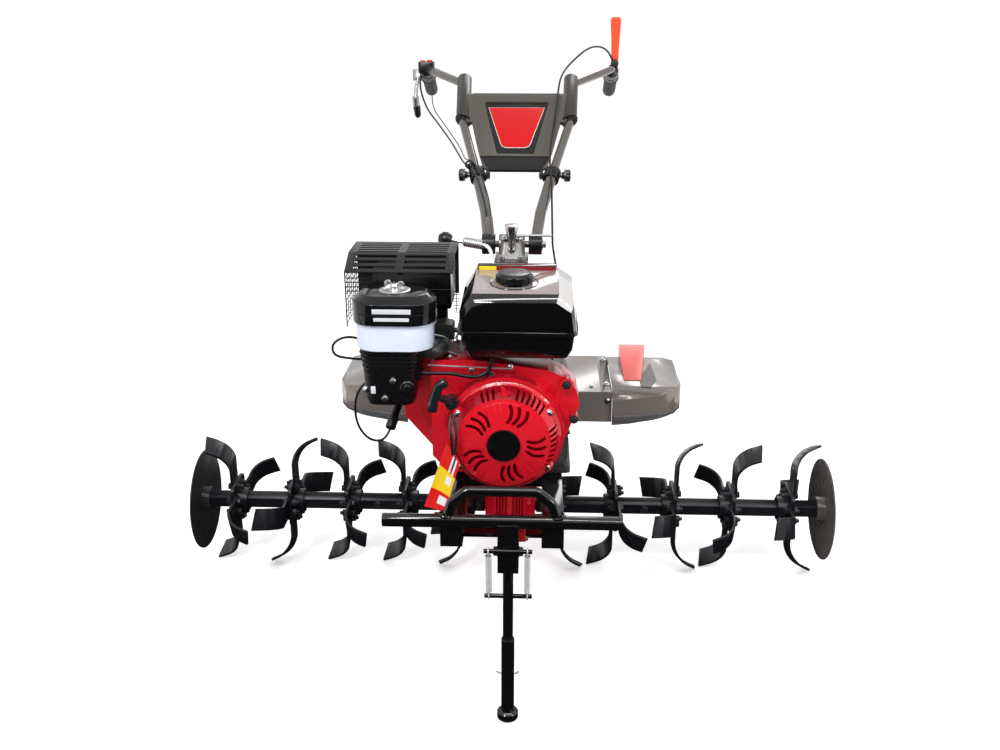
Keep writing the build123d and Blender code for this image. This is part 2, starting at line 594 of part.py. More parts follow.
vent_arc = ThreePointArc((VENT_INNER, 0), ((VENT_INNER + VENT_OUTER) / 2, 5), (VENT_OUTER, 0))
vent = extrude(face_at * SlotArc(vent_arc, VENT_WIDTH), 24)
rim_vent = block(RECOIL_RADIUS - 21, RECOIL_RADIUS - 5, RECOIL_BACK - 60, RECOIL_BACK - 14, CRANK_Z - 2.6, CRANK_Z + 2.6)
cuts = []
for group in range(VENT_GROUPS):
    for index in (-1, 0, 1):
        cuts.append(round_cover(vent, -4 + 360 / VENT_GROUPS * group + VENT_STEP * index))
# first angle, step and count of the rim's vents
for first, step, count in ((102, 6.5, 3), (42, 6.5, 6), (-30, 6.5, 8)):
    for index in range(count):
        cuts.append(round_cover(rim_vent, first + step * index))
recoil = recoil - cuts
parts["recoil_cover"] = recoil
parts["recoil_emblem"] = rod(
    (0, RECOIL_BACK - depth, CRANK_Z), (0, RECOIL_BACK - depth - EMBLEM_THICK, CRANK_Z), 2 * EMBLEM_RADIUS)

# the rope's port beside the drum, and the grip about it
port_out = RECOIL_RADIUS + 13.3
port_x = -port_out * math.cos(PORT_ANGLE)
port_z = CRANK_Z + port_out * math.sin(PORT_ANGLE)
grip_y = RECOIL_BACK - 40
grip = bent_bar(
    [(port_x + x, grip_y, port_z + z) for x, z in ((-6, 54), (-20, 44), (-30, 16), (-33, -6))], 14, GRIP_THICK)
grip += rod((port_x - 26, grip_y, port_z + 26), (port_x + 2, RECOIL_BACK - 14, port_z + 2), 15)
grip += turned([(0, 0), (15, 0), (12, 22), (0, 22)], (port_x, RECOIL_BACK, port_z), (0.1, -1, 0.05))
parts["recoil_grip"] = grip - recoil - cover

# ---- fuel tank ----
TANK_LOW = CRANK_Z + TANK_CLEAR
LIP_LOW = TANK_LOW + BELLY_HEIGHT
LIP_TOP = LIP_LOW + LIP_HEIGHT
tank_x = (TANK_LEFT + TANK_RIGHT) / 2
tank_y = (TANK_FRONT + TANK_BACK) / 2
tank_w = TANK_RIGHT - TANK_LEFT
tank_d = TANK_BACK - TANK_FRONT
seam_at = Plane(origin=(tank_x, tank_y, LIP_LOW))
lip = extrude(seam_at * RectangleRounded(tank_w, tank_d, 24), LIP_HEIGHT)
inset = LIP_PROUD + 2
belly = loft([
    seam_at * RectangleRounded(tank_w - 2 * inset, tank_d - 2 * inset, 22),
    seam_at.offset(-0.7 * BELLY_HEIGHT) * RectangleRounded(tank_w - 2 * inset - 8, tank_d - 2 * inset - 8, 22),
    seam_at.offset(-BELLY_HEIGHT) * RectangleRounded(tank_w - 2 * inset - 26, tank_d - 2 * inset - 26, 14),
], ruled=True)


def shell_section(y, rise, ease):
    """Cross-section of the tank's shell at a Y, with both top corners cut off."""
    left = TANK_LEFT + LIP_PROUD + ease
    right = TANK_RIGHT - LIP_PROUD - ease
    top = LIP_TOP + rise
    return make_face(Polyline(
        (left, y, LIP_TOP), (left + 2, y, top - 36), (left + 26, y, top), (right - 34, y, top),
        (right - 6, y, top - 19), (right, y, LIP_TOP), close=True))


shell = loft([
    shell_section(TANK_FRONT + LIP_PROUD, SHELL_FRONT - 14, 5),
    shell_section(TANK_FRONT + LIP_PROUD + 12, SHELL_FRONT, 0),
    shell_section(TANK_BACK - LIP_PROUD - 12, SHELL_BACK, 0),
    shell_section(TANK_BACK - LIP_PROUD, SHELL_BACK - 14, 5),
], ruled=True)
ridge = block(TANK_LEFT + 32, TANK_RIGHT - 42, TANK_BACK - 40, TANK_BACK - 18, LIP_TOP + SHELL_BACK - 12,
              LIP_TOP + SHELL_BACK + 8)
neck_z = LIP_TOP + SHELL_FRONT
neck = rod((CAP_X, CAP_Y, neck_z - 10), (CAP_X, CAP_Y, neck_z + 8), 2 * NECK_RADIUS)
parts["fuel_tank"] = shell + lip + belly + fillet(ridge.edges().filter_by(Axis.Z), 6) + neck
cap = turned(
    [(0, 0), (CAP_RADIUS, 0), (CAP_RADIUS, CAP_HEIGHT - 7), (CAP_RADIUS - 6, CAP_HEIGHT - 1), (22, CAP_HEIGHT),
     (0, CAP_HEIGHT)], (CAP_X, CAP_Y, neck_z + 8), (0, 0, 1))
for index in range(8):
    notch = Pos(CAP_X, CAP_Y, 0) * Rot(Z=45 * index) * block(CAP_RADIUS - 2, CAP_RADIUS + 6, -4, 4, neck_z, neck_z + 22)
    cap -= notch
parts["fuel_cap"] = cap

# ---- air filter ----
BASE_TOP = FILTER_FLOOR + BASE_HEIGHT
RING_TOP = BASE_TOP + RING_HEIGHT
LID_TOP = RING_TOP + LID_HEIGHT + LID_SHOULDER
base_at = Plane(origin=(FILTER_X - 10, FILTER_Y - 6, BASE_TOP))
outlet_x = base_at.origin.X + (LID_WIDTH - 46) / 2 + 3
outlet_z = BASE_TOP - 15
base = loft([
    base_at * RectangleRounded(LID_WIDTH - 46, LID_DEPTH - 36, 26),
    base_at.offset(-BASE_HEIGHT + 8) * RectangleRounded(LID_WIDTH - 64, LID_DEPTH - 46, 22),
], ruled=True)
base += extrude(base_at.offset(-BASE_HEIGHT) * RectangleRounded(LID_WIDTH - 72, LID_DEPTH - 54, 18), 9)
for index in range(RIB_COUNT):
    z = -8 - 9 * index
    base += extrude(base_at.offset(z) * RectangleRounded(LID_WIDTH - 42 + 0.3 * z, LID_DEPTH - 32 + 0.2 * z, 18), 3)
base += block(FILTER_X + 20, outlet_x, FILTER_Y - 30, FILTER_Y + 14, BASE_TOP - 66, BASE_TOP - 1)
parts["filter_base"] = base
ring_at = Plane(origin=(FILTER_X, FILTER_Y, BASE_TOP))
parts["filter_ring"] = extrude(ring_at * RectangleRounded(LID_WIDTH - 12, LID_DEPTH - 10, LID_CORNER - 6), RING_HEIGHT)
lid_at = ring_at.offset(RING_HEIGHT)
lid = extrude(lid_at * RectangleRounded(LID_WIDTH, LID_DEPTH, LID_CORNER), LID_HEIGHT)
lid += loft([
    lid_at.offset(LID_HEIGHT) * RectangleRounded(LID_WIDTH, LID_DEPTH, LID_CORNER),
    lid_at.offset(LID_HEIGHT + LID_SHOULDER) * RectangleRounded(LID_WIDTH - 34, LID_DEPTH - 34, LID_CORNER - 14),
], ruled=True)
stud = (FILTER_X, FILTER_Y, LID_TOP)
lid += rod(stud, (FILTER_X, FILTER_Y, LID_TOP + 2), 60)
lid += rod(stud, (FILTER_X, FILTER_Y, LID_TOP + 16), 9)
parts["filter_lid"] = lid

# ---- carburettor, its elbow and the governor arm ----
carb_z = CRANK_Z + 177
carb = block(-146, -104, -374, -332, carb_z - 20, carb_z + 20)
carb = fillet(carb.edges().filter_by(Axis.Y), 8)
carb += turned([(0, 0), (19, 0), (21, 8), (21, 16), (0, 16)], (-126, -362, carb_z - 32), (0, 0, 1))
carb += rod((-126, -332, carb_z), (-126, -316, carb_z), 36)
elbow_y = FILTER_Y - 3
carb += bent_bar([(outlet_x, elbow_y, outlet_z), (-126, elbow_y, outlet_z), (-126, -368, outlet_z + 6)], 17, 27)
carb += rod((-106, -368, carb_z + 8), (-94, -368, carb_z + 8), 10)
parts["carburettor"] = carb

# ---- muffler and its guard ----
muffler = block(MUFFLER_LEFT, MUFFLER_RIGHT, MUFFLER_FRONT, MUFFLER_BACK, MUFFLER_LOW, MUFFLER_HIGH)
muffler = chamfer(muffler.edges().filter_by(Axis.X), 14)
muffler = fillet(muffler.edges().filter_by(Axis.Y), 6)
muffler += rod((-136, -300, MUFFLER_LOW - 24), (-136, -300, MUFFLER_LOW + 20), 30)
muffler += rod((MUFFLER_LEFT + 30, MUFFLER_BACK - 4, MUFFLER_HIGH - 26), (MUFFLER_LEFT + 30, MUFFLER_BACK + 12, MUFFLER_HIGH - 26), 24)
parts["muffler"] = muffler

guard_left = MUFFLER_LEFT - GUARD_LEFT_GAP
guard_right = MUFFLER_RIGHT + 6
guard_top = MUFFLER_HIGH + GUARD_GAP + 6
guard_front = MUFFLER_FRONT - 16
guard_back = MUFFLER_BACK + GUARD_GAP
bend_y = guard_front + 60
roof_line = [(guard_front, guard_top - 26), (bend_y, guard_top), (guard_back, guard_top),
             (guard_back, guard_top - GUARD_LEG)]
inner_line = [(guard_back - GUARD_SHEET, guard_top - GUARD_LEG), (guard_back - GUARD_SHEET, guard_top - GUARD_SHEET),
              (bend_y, guard_top - GUARD_SHEET), (guard_front, guard_top - 26 - GUARD_SHEET)]
guard = side_plate(roof_line + inner_line, guard_left, guard_right)
guard += side_plate(
    [(guard_front, guard_top - 26), (bend_y, guard_top), (guard_back, guard_top), (guard_back, guard_top - GUARD_LEG),
     (guard_back - 60, guard_top - GUARD_LEG), (guard_front, guard_top - GUARD_LEG - 30)],
    guard_left, guard_left + GUARD_SHEET)
slot_length = (guard_right - guard_left - 48) / 2
for index in range(SLOT_COUNT):
    y = guard_front + 10 + (guard_back - guard_front - 20) / SLOT_COUNT * index
    for x in (guard_left + 16, guard_left + 32 + slot_length):
        guard -= block(x, x + slot_length, y, y + SLOT_WIDTH, guard_top - 40, guard_top + 2)
guard += block(guard_right - 40, guard_right - 12, guard_back - 20, guard_back - 14, MUFFLER_HIGH - 20, guard_top - GUARD_SHEET)
parts["muffler_guard"] = guard - muffler

# ---- fenders ----
# A flat plate with a front apron bolts to the gear case, and a moulded wing continues it outwards.
wing_edge = PLATE_EDGE + WING_WIDTH
wing_top = FENDER_TOP + WING_RISE


def wing_body(inset):
    """Solid inside the wing's skin, for an inset from its outer faces."""
    plan = flat_plate(
        [(PLATE_EDGE - inset, FENDER_FRONT - 8 + inset), (wing_edge - 50, FENDER_FRONT - 2 + inset),
         (wing_edge - 16 - inset, FENDER_FRONT + 16 + inset), (wing_edge - inset, FENDER_FRONT + 44),
         (wing_edge - inset, FENDER_BACK - 44), (wing_edge - 44, FENDER_BACK - inset),
         (PLATE_EDGE - inset, FENDER_BACK - inset)],
        FENDER_TOP - APRON_DROP - 20, wing_top)
    top = wing_top - inset
    front = FENDER_FRONT - 8 + inset
    side = side_plate(
        [(front, FENDER_TOP - APRON_DROP - 20), (front, top - 26), (front + 6, top - 12), (front + 18, top - 3),
         (front + 34, top), (FENDER_BACK - 24 - inset, top), (FENDER_BACK - 6 - inset, top - 12),
         (FENDER_BACK - inset, FENDER_TOP - APRON_DROP - 20)],
        PLATE_EDGE - 5, wing_edge + 5)
    return plan & side


apron_rise = 22.0
trim = front_plate(
    [(PLATE_EDGE - 10, FENDER_TOP - APRON_DROP - 40), (wing_edge + 10, FENDER_TOP - APRON_DROP - 40),
     (wing_edge + 10, FENDER_TOP - APRON_DROP + apron_rise), (PLATE_EDGE + 40, FENDER_TOP - APRON_DROP - 2),
     (PLATE_EDGE - 10, FENDER_TOP - APRON_DROP - 6)],
    FENDER_FRONT - 60, FENDER_BACK + 60)
tail_trim = side_plate(
    [(FENDER_FRONT + 70, FENDER_TOP - APRON_DROP - 40), (FENDER_BACK + 20, FENDER_TOP - APRON_DROP - 40),
     (FENDER_BACK + 20, FENDER_TOP - 22), (FENDER_FRONT + 110, FENDER_TOP - 22)],
    PLATE_EDGE - 10, wing_edge + 10)
wing = wing_body(0) - wing_body(WING_WALL) - trim - tail_trim
insert_x0 = PLATE_EDGE + 26
insert_x1 = PLATE_EDGE + 82
insert = loft([
    Plane(origin=((insert_x0 + insert_x1) / 2 - 4, INSERT_FRONT, wing_top + 1), x_dir=(1, 0, 0), z_dir=(0, -1, 0))
    * Rectangle(40, 4),
    Plane(origin=((insert_x0 + insert_x1) / 2 + 4, INSERT_BACK, wing_top + INSERT_RISE / 2 - 1), x_dir=(1, 0, 0), z_dir=(0, -1, 0))
    * Rectangle(64, INSERT_RISE),
], ruled=True)
insert -= wing_body(0)
for label, side in (("left", -1), ("right", 1)):
    near, far = side * (UPPER_HALF + 12), side * PLATE_EDGE
    plate = block(near, far, FENDER_FRONT, FENDER_BACK, FENDER_TOP - FENDER_SHEET, FENDER_TOP)
    plate += block(near, far, FENDER_FRONT, FENDER_FRONT + FENDER_SHEET, FENDER_TOP - APRON_DROP, FENDER_TOP)
    seam = side * (PLATE_EDGE - 24)
    plate += block(seam - 1, seam + 1, FENDER_FRONT, FENDER_BACK, FENDER_TOP - 8, FENDER_TOP + 1.5)
    plate += block(side * (UPPER_HALF + 1), side * (UPPER_HALF + 50), -40, 40, FENDER_TOP - 12, FENDER_TOP - FENDER_SHEET)
    plate -= frame
    parts[f"fender_plate_{label}"] = plate
    parts[f"fender_wing_{label}"] = wing if side > 0 else mirror(wing, about=Plane.YZ)
    parts[f"fender_insert_{label}"] = insert if side > 0 else mirror(insert, about=Plane.YZ)

# ---- rear hitch and depth stake ----
# Two lugs behind the case take a towed tool's pin, and the socket behind them holds the depth stake.
hitch_half = HITCH_WIDTH / 2
socket_front = STAKE_Y - STAKE_SOCKET / 2
hitch = block(-hitch_half, hitch_half, 60, 84, HITCH_LOW, HITCH_HIGH + 60)
for z in (HITCH_LOW, HITCH_HIGH - LUG_THICK):
    hitch += block(-hitch_half, hitch_half, 70, socket_front, z, z + LUG_THICK)
hitch -= rod((0, HITCH_PIN_Y, HITCH_LOW - 10), (0, HITCH_PIN_Y, HITCH_HIGH + 10), HITCH_BORE)
hitch += block(-hitch_half, hitch_half, socket_front, socket_front + STAKE_SOCKET, HITCH_LOW, HITCH_HIGH)
stake_x = STAKE_WIDTH / 2 + STAKE_GAP
stake_y = STAKE_THICK / 2 + STAKE_GAP
hitch -= block(-stake_x, stake_x, STAKE_Y - stake_y, STAKE_Y + stake_y, HITCH_LOW - 10, HITCH_HIGH + 10)
parts["rear_hitch"] = hitch - case
stake = block(-STAKE_WIDTH / 2, STAKE_WIDTH / 2, STAKE_Y - STAKE_THICK / 2, STAKE_Y + STAKE_THICK / 2,
              STAKE_LOW, STAKE_LOW + STAKE_LENGTH)
for index in range(STAKE_HOLES):
    z = STAKE_LOW + STAKE_LENGTH - 26 - STAKE_HOLE_PITCH * index
    stake -= rod((0, STAKE_Y - STAKE_THICK, z), (0, STAKE_Y + STAKE_THICK, z), STAKE_HOLE)
parts["depth_stake"] = stake

# ---- handlebar column, lock lever and shift lever ----
housing_top = CRANK_Z + UPPER_RISE
head_low = TILT_Z - 24
post = block(-30, 30, -14, 52, housing_top, head_low)
post = fillet(post.edges().filter_by(Axis.Z), 10)
post += block(-40, 40, -30, 70, housing_top, housing_top + 12)
post += block(-38, 38, -24, 66, head_low - 8, head_low)
head = loft([
    Plane(origin=(0, TILT_Y - 16, head_low)) * RectangleRounded(60, 64, 12),
    Plane(origin=(0, TILT_Y - 6, TILT_Z + 18)) * RectangleRounded(48, 44, 12),
], ruled=True)
post += head + disc_x(-HEAD_HALF, HEAD_HALF, CLAMP_RADIUS, TILT_Y, TILT_Z)
post -= disc_x(-HEAD_HALF - 1, HEAD_HALF + 1, TILT_BOLT / 2 + TILT_GAP, TILT_Y, TILT_Z)
post += turned([(0, -8), (7, -8), (7, 10), (9, 14), (15, 50), (15, 53), (0, 53)], (0, TILT_Y - 42, TILT_Z + 2), (0, -0.1, 1))
post += rod((0, TILT_Y - 44, TILT_Z), (0, TILT_Y - 12, TILT_Z), 12)
parts["handlebar_column"] = post

knob_at = (-152, 0, TILT_Z + 20)
shift = bent_bar([(-36, -52, housing_top), (-37, -52, TILT_Z - 40), (-48, -20, TILT_Z + 8), knob_at], [24, 24], 9)
shift += rod((-108, -6, TILT_Z + 15.5), (-66, -14, TILT_Z + 10), 21)
shift += turned([(0, -16), (10, -15), (16, -6), (16, 4), (9, 14), (0, 15)], knob_at, (-0.97, 0.1, 0.06))
parts["shift_lever"] = shift

# ---- handlebar ----
LOWER_BAR = [(CLAMP_X, TILT_Y, TILT_Z), (65, 120, 878), CLAMP_AT]
UPPER_BAR = [CLAMP_AT, (136, 398, 1054), (141, 530, 1140), (260, 700, 1170), (262, 850, 1102)]
GRIP_END = Vector(*UPPER_BAR[-1])
GRIP_AXIS = (GRIP_END - Vector(*UPPER_BAR[-2])).normalized()
bar = bent_bar(LOWER_BAR, [60], BAR_DIAMETER) + bent_bar(UPPER_BAR, [120, 34, 44], UPPER_DIAMETER)
bar += disc_x(CLAMP_X - CLAMP_HALF, CLAMP_X + CLAMP_HALF, CLAMP_RADIUS, TILT_Y, TILT_Z)
joint = Vector(*CLAMP_AT)
run = (Vector(*UPPER_BAR[1]) - joint).normalized()
bar += rod(tuple(joint - run * 16), tuple(joint + run * 14), BAR_DIAMETER + 12)
bar += rod((joint.X - 32, joint.Y, joint.Z), (joint.X + 32, joint.Y, joint.Z), 12)
bar += rod((joint.X + 30, joint.Y, joint.Z), (joint.X + 42, joint.Y, joint.Z), 30)
bars = both_sides(bar) + rod((-CLAMP_X, TILT_Y, TILT_Z), (CLAMP_X, TILT_Y, TILT_Z), TILT_BOLT)
# centre lines of the cables that tilt with the handlebar; the left ones end in stops on the left clamp
CLUTCH_CABLE = [
    (-276, 712, 1148), (-276, 686, 1148), (-275, 666, 1120), (-265, 646, 1090), (-248, 622, 1060), (-223, 584, 1038),
    (-198, 530, 1017), (-174, 470, 998), (-154, 410, 981), (-138, 350, 969), (-124, 295, 964), (-107, 240, 970),
    (-87, 188, 945), (-74, 144, 916), (-65, 110, 894), (-60, 80, 874)]
POD_WIRE = [
    (-244, 694, 1158), (-244, 694, 1132), (-243, 676, 1106), (-240, 646, 1084), (-230, 606, 1064), (-212, 566, 1048),
    (-190, 516, 1030), (-167, 461, 1010), (-147, 404, 994), (-134, 348, 983), (-125, 294, 977), (-101, 240, 984),
    (-79, 186, 956), (-63, 140, 926), (-54, 104, 900), (-50, 78, 876)]
SAFETY_CABLE = [
    (262, 722, 1188), (250, 704, 1216), (222, 676, 1232), (190, 640, 1229), (159, 600, 1208), (132, 560, 1185),
    (115, 516, 1164), (108, 471, 1140), (102, 409, 1091), (95, 353, 1048), (88, 296, 1008), (86, 244, 976),
    (91, 190, 938), (92, 136, 898), (93, 84, 856), (94, TILT_Y + 1, TILT_Z + 0.7)]
for route in (CLUTCH_CABLE, POD_WIRE):
    end = Vector(*route[-1])
    onward = (end - Vector(*route[-2])).normalized()
    bars += rod(tuple(end), tuple(end + onward * 56), 7)
parts["handlebar"] = bars

# moulded dash: a tapered panel with a recess and a drooping lip, and a half-round shroud over each bar
slope = math.radians(PANEL_SLOPE)
panel_at = Plane(origin=(0, PANEL_Y, PANEL_Z), x_dir=(1, 0, 0), z_dir=(0, -math.sin(slope), math.cos(slope)))


def on_panel(half_outline, level, thick):
    """Plate on the dash panel's slope, from the (x, height) points of its right half."""
    mirrored = [(-x, height) for x, height in reversed(half_outline)]
    return extrude(panel_at.offset(level) * make_face(Polyline(*half_outline, *mirrored, close=True)), thick)


panel = on_panel([(88, PANEL_LOW), (96, -170), (112, -90), (114, PANEL_TOP)], 0, PANEL_THICK)
panel += on_panel([(62, LIP_END), (79, LIP_END + 9), (88, PANEL_LOW + 1)], 0, LIP_THICK)
floor_level = PANEL_THICK - RECESS_DEPTH
panel -= on_panel([(46, PANEL_LOW + 8), (84, PANEL_TOP - 30)], floor_level, 2 * RECESS_DEPTH)
panel += on_panel([(33, PANEL_LOW + 32), (71, PANEL_TOP - 52)], floor_level, RECESS_DEPTH / 2)
top_bend = Vector(*UPPER_BAR[2])
bar_run = (Vector(*UPPER_BAR[1]) - top_bend).normalized()
shroud_top = top_bend - bar_run * 22
shroud = rod(tuple(shroud_top), tuple(shroud_top + bar_run * SHROUD_LENGTH), SHROUD_DIAMETER)
web = extrude(panel_at * make_face(
    Polyline((106, -85), (128, -85), (132, PANEL_TOP), (106, PANEL_TOP), close=True)), PANEL_THICK)
panel += both_sides(shroud) + both_sides(web)
parts["dash_panel"] = panel - bars

grip_start = GRIP_END - GRIP_AXIS * (GRIP_LENGTH - 12)
for label, side in (("left", -1), ("right", 1)):
    a = Vector(side * grip_start.X, grip_start.Y, grip_start.Z)
    axis = Vector(side * GRIP_AXIS.X, GRIP_AXIS.Y, GRIP_AXIS.Z)
    half_width = GRIP_DIAMETER / 2
    profile = [(0, 0), (half_width + 4, 0), (half_width + 4, 5), (half_width - 1, 8), (half_width, GRIP_LENGTH - 6),
               (half_width - 4, GRIP_LENGTH), (0, GRIP_LENGTH)]
    parts[f"grip_{label}"] = turned(profile, tuple(a), tuple(axis)) - bars

# ---- hand controls ----
pod = block(-281, -237, 676, 716, 1158, 1188)
pod = fillet(pod.edges().filter_by(Axis.Z), 8)
pod += rod((-249, 690, 1184), (-249, 690, 1192), 15) + rod((-268, 690, 1184), (-268, 690, 1191), 12)
parts["control_pod"] = pod - bars
clutch = block(-300, -262, 712, 732, 1136, 1166)
clutch += bent_bar([(-284, 722, 1150), (-290, 704, 1118), (-293, 700, 1082), (-289, 716, 1034)], 20, 11)
clutch += rod((-293, 700, 1092), (-290, 712, 1046), 19)
parts["clutch_lever"] = clutch - bars - parts["control_pod"] - parts["grip_left"]
safety = front_plate([(259, 1168), (277, 1168), (279, 1240), (282, 1298), (277, 1306), (258, 1306), (253, 1298),
                      (257, 1240)], 728, 740)
parts["safety_lever"] = fillet(safety.edges().filter_by(Axis.Y), 3) - bars - parts["grip_right"]

# ---- cables and hose ----
# Each is a round solid along straight runs and arcs. The right cable changes bodies on the tilt axis,
# so it stays in line there however far the handlebar tilts.
parts["cable_left"] = cord("clutch cable", CLUTCH_CABLE, CABLE) + cord("pod wire", POD_WIRE, THIN_CABLE)
parts["cable_right"] = cord("safety cable", SAFETY_CABLE, CABLE)
ENGINE_CABLE = [
    (94, TILT_Y - 1, TILT_Z - 0.7), (98, 4, 800), (104, -36, 776), (108, -76, 746), (108, -116, 714), (104, -160, 696),
    (98, -200, 688), (94, -236, 671), (94, -236, CRANK_Z + 80)]
PLUG_LEAD = [
    (-205.9, -368, 684), (-232, -368, 684), (-262, -366, 702), (-292, -369, 721), (-322, -378, 727), (-346, -385, 714),
    (-344, -387, 690), (-314, -382, 682), (-262, -371, 676), (-250, -369, 658), (-262, -372, 638), (-288, -379, 628),
    (-304, -384, 602), (-307, -386, 564), (-298, -388, 530), (-274, -390, 506), tuple(plug_end + plug_axis * 26),
    tuple(plug_end)]
FUEL_HOSE = [
    (outlet_x, -440, 674), (-132, -440, 674), (-103, -444, 676), (-74, -446, 670), (-48, -444, 669), (-27, -439, 684),
    (-24, -438, TANK_LOW)]
parts["engine_cables"] = cord("engine cable", ENGINE_CABLE, CABLE) + cord("plug lead", PLUG_LEAD, LEAD)
parts["fuel_hose"] = cord("fuel hose", FUEL_HOSE, HOSE)

# ---- origin: the middle of the footprint ----
boxes = [solid.bounding_box() for solid in parts.values()]
front = min(box.min.Y for box in boxes)
back = max(box.max.Y for box in boxes)
SHIFT_Y = -(front + back) / 2
for name, solid in parts.items():
    export_step(Pos(0, SHIFT_Y, 0) * solid, f"parts/{name}.step")
print("axis height", round(AXIS_Z, 3), "shift", round(SHIFT_Y, 3))
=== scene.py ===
import bpy
import math
from mathutils import Matrix, Vector
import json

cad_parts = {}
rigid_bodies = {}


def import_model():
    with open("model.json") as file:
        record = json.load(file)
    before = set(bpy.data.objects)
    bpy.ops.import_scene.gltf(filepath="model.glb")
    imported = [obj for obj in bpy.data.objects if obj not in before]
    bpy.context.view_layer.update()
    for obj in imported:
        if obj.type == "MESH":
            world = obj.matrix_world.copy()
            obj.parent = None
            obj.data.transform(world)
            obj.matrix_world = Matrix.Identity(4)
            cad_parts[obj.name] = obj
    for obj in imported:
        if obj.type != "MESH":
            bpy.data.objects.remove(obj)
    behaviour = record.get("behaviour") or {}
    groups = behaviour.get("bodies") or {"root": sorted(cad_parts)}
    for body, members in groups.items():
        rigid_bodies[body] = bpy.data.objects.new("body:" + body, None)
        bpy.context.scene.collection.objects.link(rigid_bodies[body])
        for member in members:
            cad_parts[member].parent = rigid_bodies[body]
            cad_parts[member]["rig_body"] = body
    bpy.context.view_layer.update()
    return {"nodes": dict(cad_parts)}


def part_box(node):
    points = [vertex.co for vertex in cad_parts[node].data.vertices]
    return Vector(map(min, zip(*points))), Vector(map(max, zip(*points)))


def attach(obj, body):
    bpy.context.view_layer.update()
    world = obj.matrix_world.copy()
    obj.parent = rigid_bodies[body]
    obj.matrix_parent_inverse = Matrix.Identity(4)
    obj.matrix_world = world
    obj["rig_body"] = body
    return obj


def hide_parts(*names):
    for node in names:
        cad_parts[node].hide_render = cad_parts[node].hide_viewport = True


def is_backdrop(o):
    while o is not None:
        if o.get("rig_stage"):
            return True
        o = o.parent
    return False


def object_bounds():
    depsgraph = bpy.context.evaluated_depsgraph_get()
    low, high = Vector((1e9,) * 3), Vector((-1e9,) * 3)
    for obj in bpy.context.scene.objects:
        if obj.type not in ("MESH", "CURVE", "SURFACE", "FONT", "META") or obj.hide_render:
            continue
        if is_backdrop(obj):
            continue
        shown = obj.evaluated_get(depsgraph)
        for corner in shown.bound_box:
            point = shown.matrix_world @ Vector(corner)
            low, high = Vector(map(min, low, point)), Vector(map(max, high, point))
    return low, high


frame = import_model()

# ---- Camera, light and floor ----
# A normal lens stands in front of the machine, a little to the right and looking 20 degrees down, over a
# white floor in a white surround. Soft lamps hang above. A dark card, which only shows in gloss, stands low
# in front and lies under the machine, so that enamel stays deep.
axle_low, axle_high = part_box("rotor_axle")
ROTOR_Y = (axle_low.y + axle_high.y) / 2
ROTOR_Z = (axle_low.z + axle_high.z) / 2
CAMERA_PLACE = (0.064, ROTOR_Y - 2.353, 1.369)
CAMERA_LENS = 37.8
CAMERA_DOWN = math.radians(20)
CAMERA_TURN = math.radians(2.2)
WHITE = (1.0, 1.0, 1.0, 1.0)
SURROUND_LEVEL = 0.60

bpy.ops.object.select_all(action="DESELECT")
bpy.ops.object.camera_add(location=CAMERA_PLACE, rotation=(math.pi / 2 - CAMERA_DOWN, 0, CAMERA_TURN))
camera = bpy.context.object
camera.data.lens = CAMERA_LENS
camera.data.sensor_width = 36
bpy.context.scene.camera = camera
bpy.context.scene.view_settings.view_transform = "Standard"


def fed(node, inputs):
    """Put a value or another node's output on each input that is named of a shader node."""
    for socket, value in inputs.items():
        if isinstance(value, bpy.types.NodeSocket):
            node.id_data.links.new(value, node.inputs[socket])
        else:
            node.inputs[socket].default_value = value
    return node


def added(tree, kind, inputs=None, **settings):
    """New node of a kind in a shader's tree, with its settings and inputs."""
    node = tree.nodes.new("ShaderNode" + kind)
    for setting, value in settings.items():
        setattr(node, setting, value)
    return fed(node, inputs or {})


def seen_directly(tree):
    """Output that is 1 for rays from the camera, a mirror or glass, and 0 for light that falls on things."""
    rays = added(tree, "LightPath").outputs
    most = rays["Is Camera Ray"]
    for ray in ("Is Glossy Ray", "Is Transmission Ray"):
        most = added(tree, "Math", {0: most, 1: rays[ray]}, operation="MAXIMUM").outputs[0]
    return most


world = bpy.data.worlds.new("surround")
world.use_nodes = True
bpy.context.scene.world = world
tree = world.node_tree
tree.nodes.clear()
lit = added(tree, "Background", {"Color": WHITE, "Strength": SURROUND_LEVEL})
seen = added(tree, "Background", {"Color": WHITE})
mix = added(tree, "MixShader", {0: seen_directly(tree), 1: lit.outputs[0], 2: seen.outputs[0]})
added(tree, "OutputWorld", {"Surface": mix.outputs[0]})

# name, place, width, depth, power and aim
LAMPS = [
    ("key_lamp", (-1.3, -2.6, 2.9), 0.55, 0.55, 44, (0, -0.2, 0.6)),
    ("fill_lamp", (2.4, -1.7, 2.1), 0.40, 0.80, 20, (0, -0.1, 0.6)),
    ("strip_lamp", (0.1, -1.6, 2.6), 3.0, 0.16, 34, (0, -0.2, 0.5)),
    ("back_lamp", (0.6, 2.6, 2.6), 1.2, 1.2, 26, (0, 0, 0.7)),
]
for name, place, wide, deep, power, aim in LAMPS:
    lamp = bpy.data.objects.new(name, bpy.data.lights.new(name, "AREA"))
    lamp.data.shape = "RECTANGLE"
    lamp.data.size = wide
    lamp.data.size_y = deep
    lamp.data.energy = power
    lamp.location = place
    lamp.rotation_euler = (Vector(aim) - Vector(place)).to_track_quat("-Z", "Y").to_euler()
    bpy.context.scene.collection.objects.link(lamp)

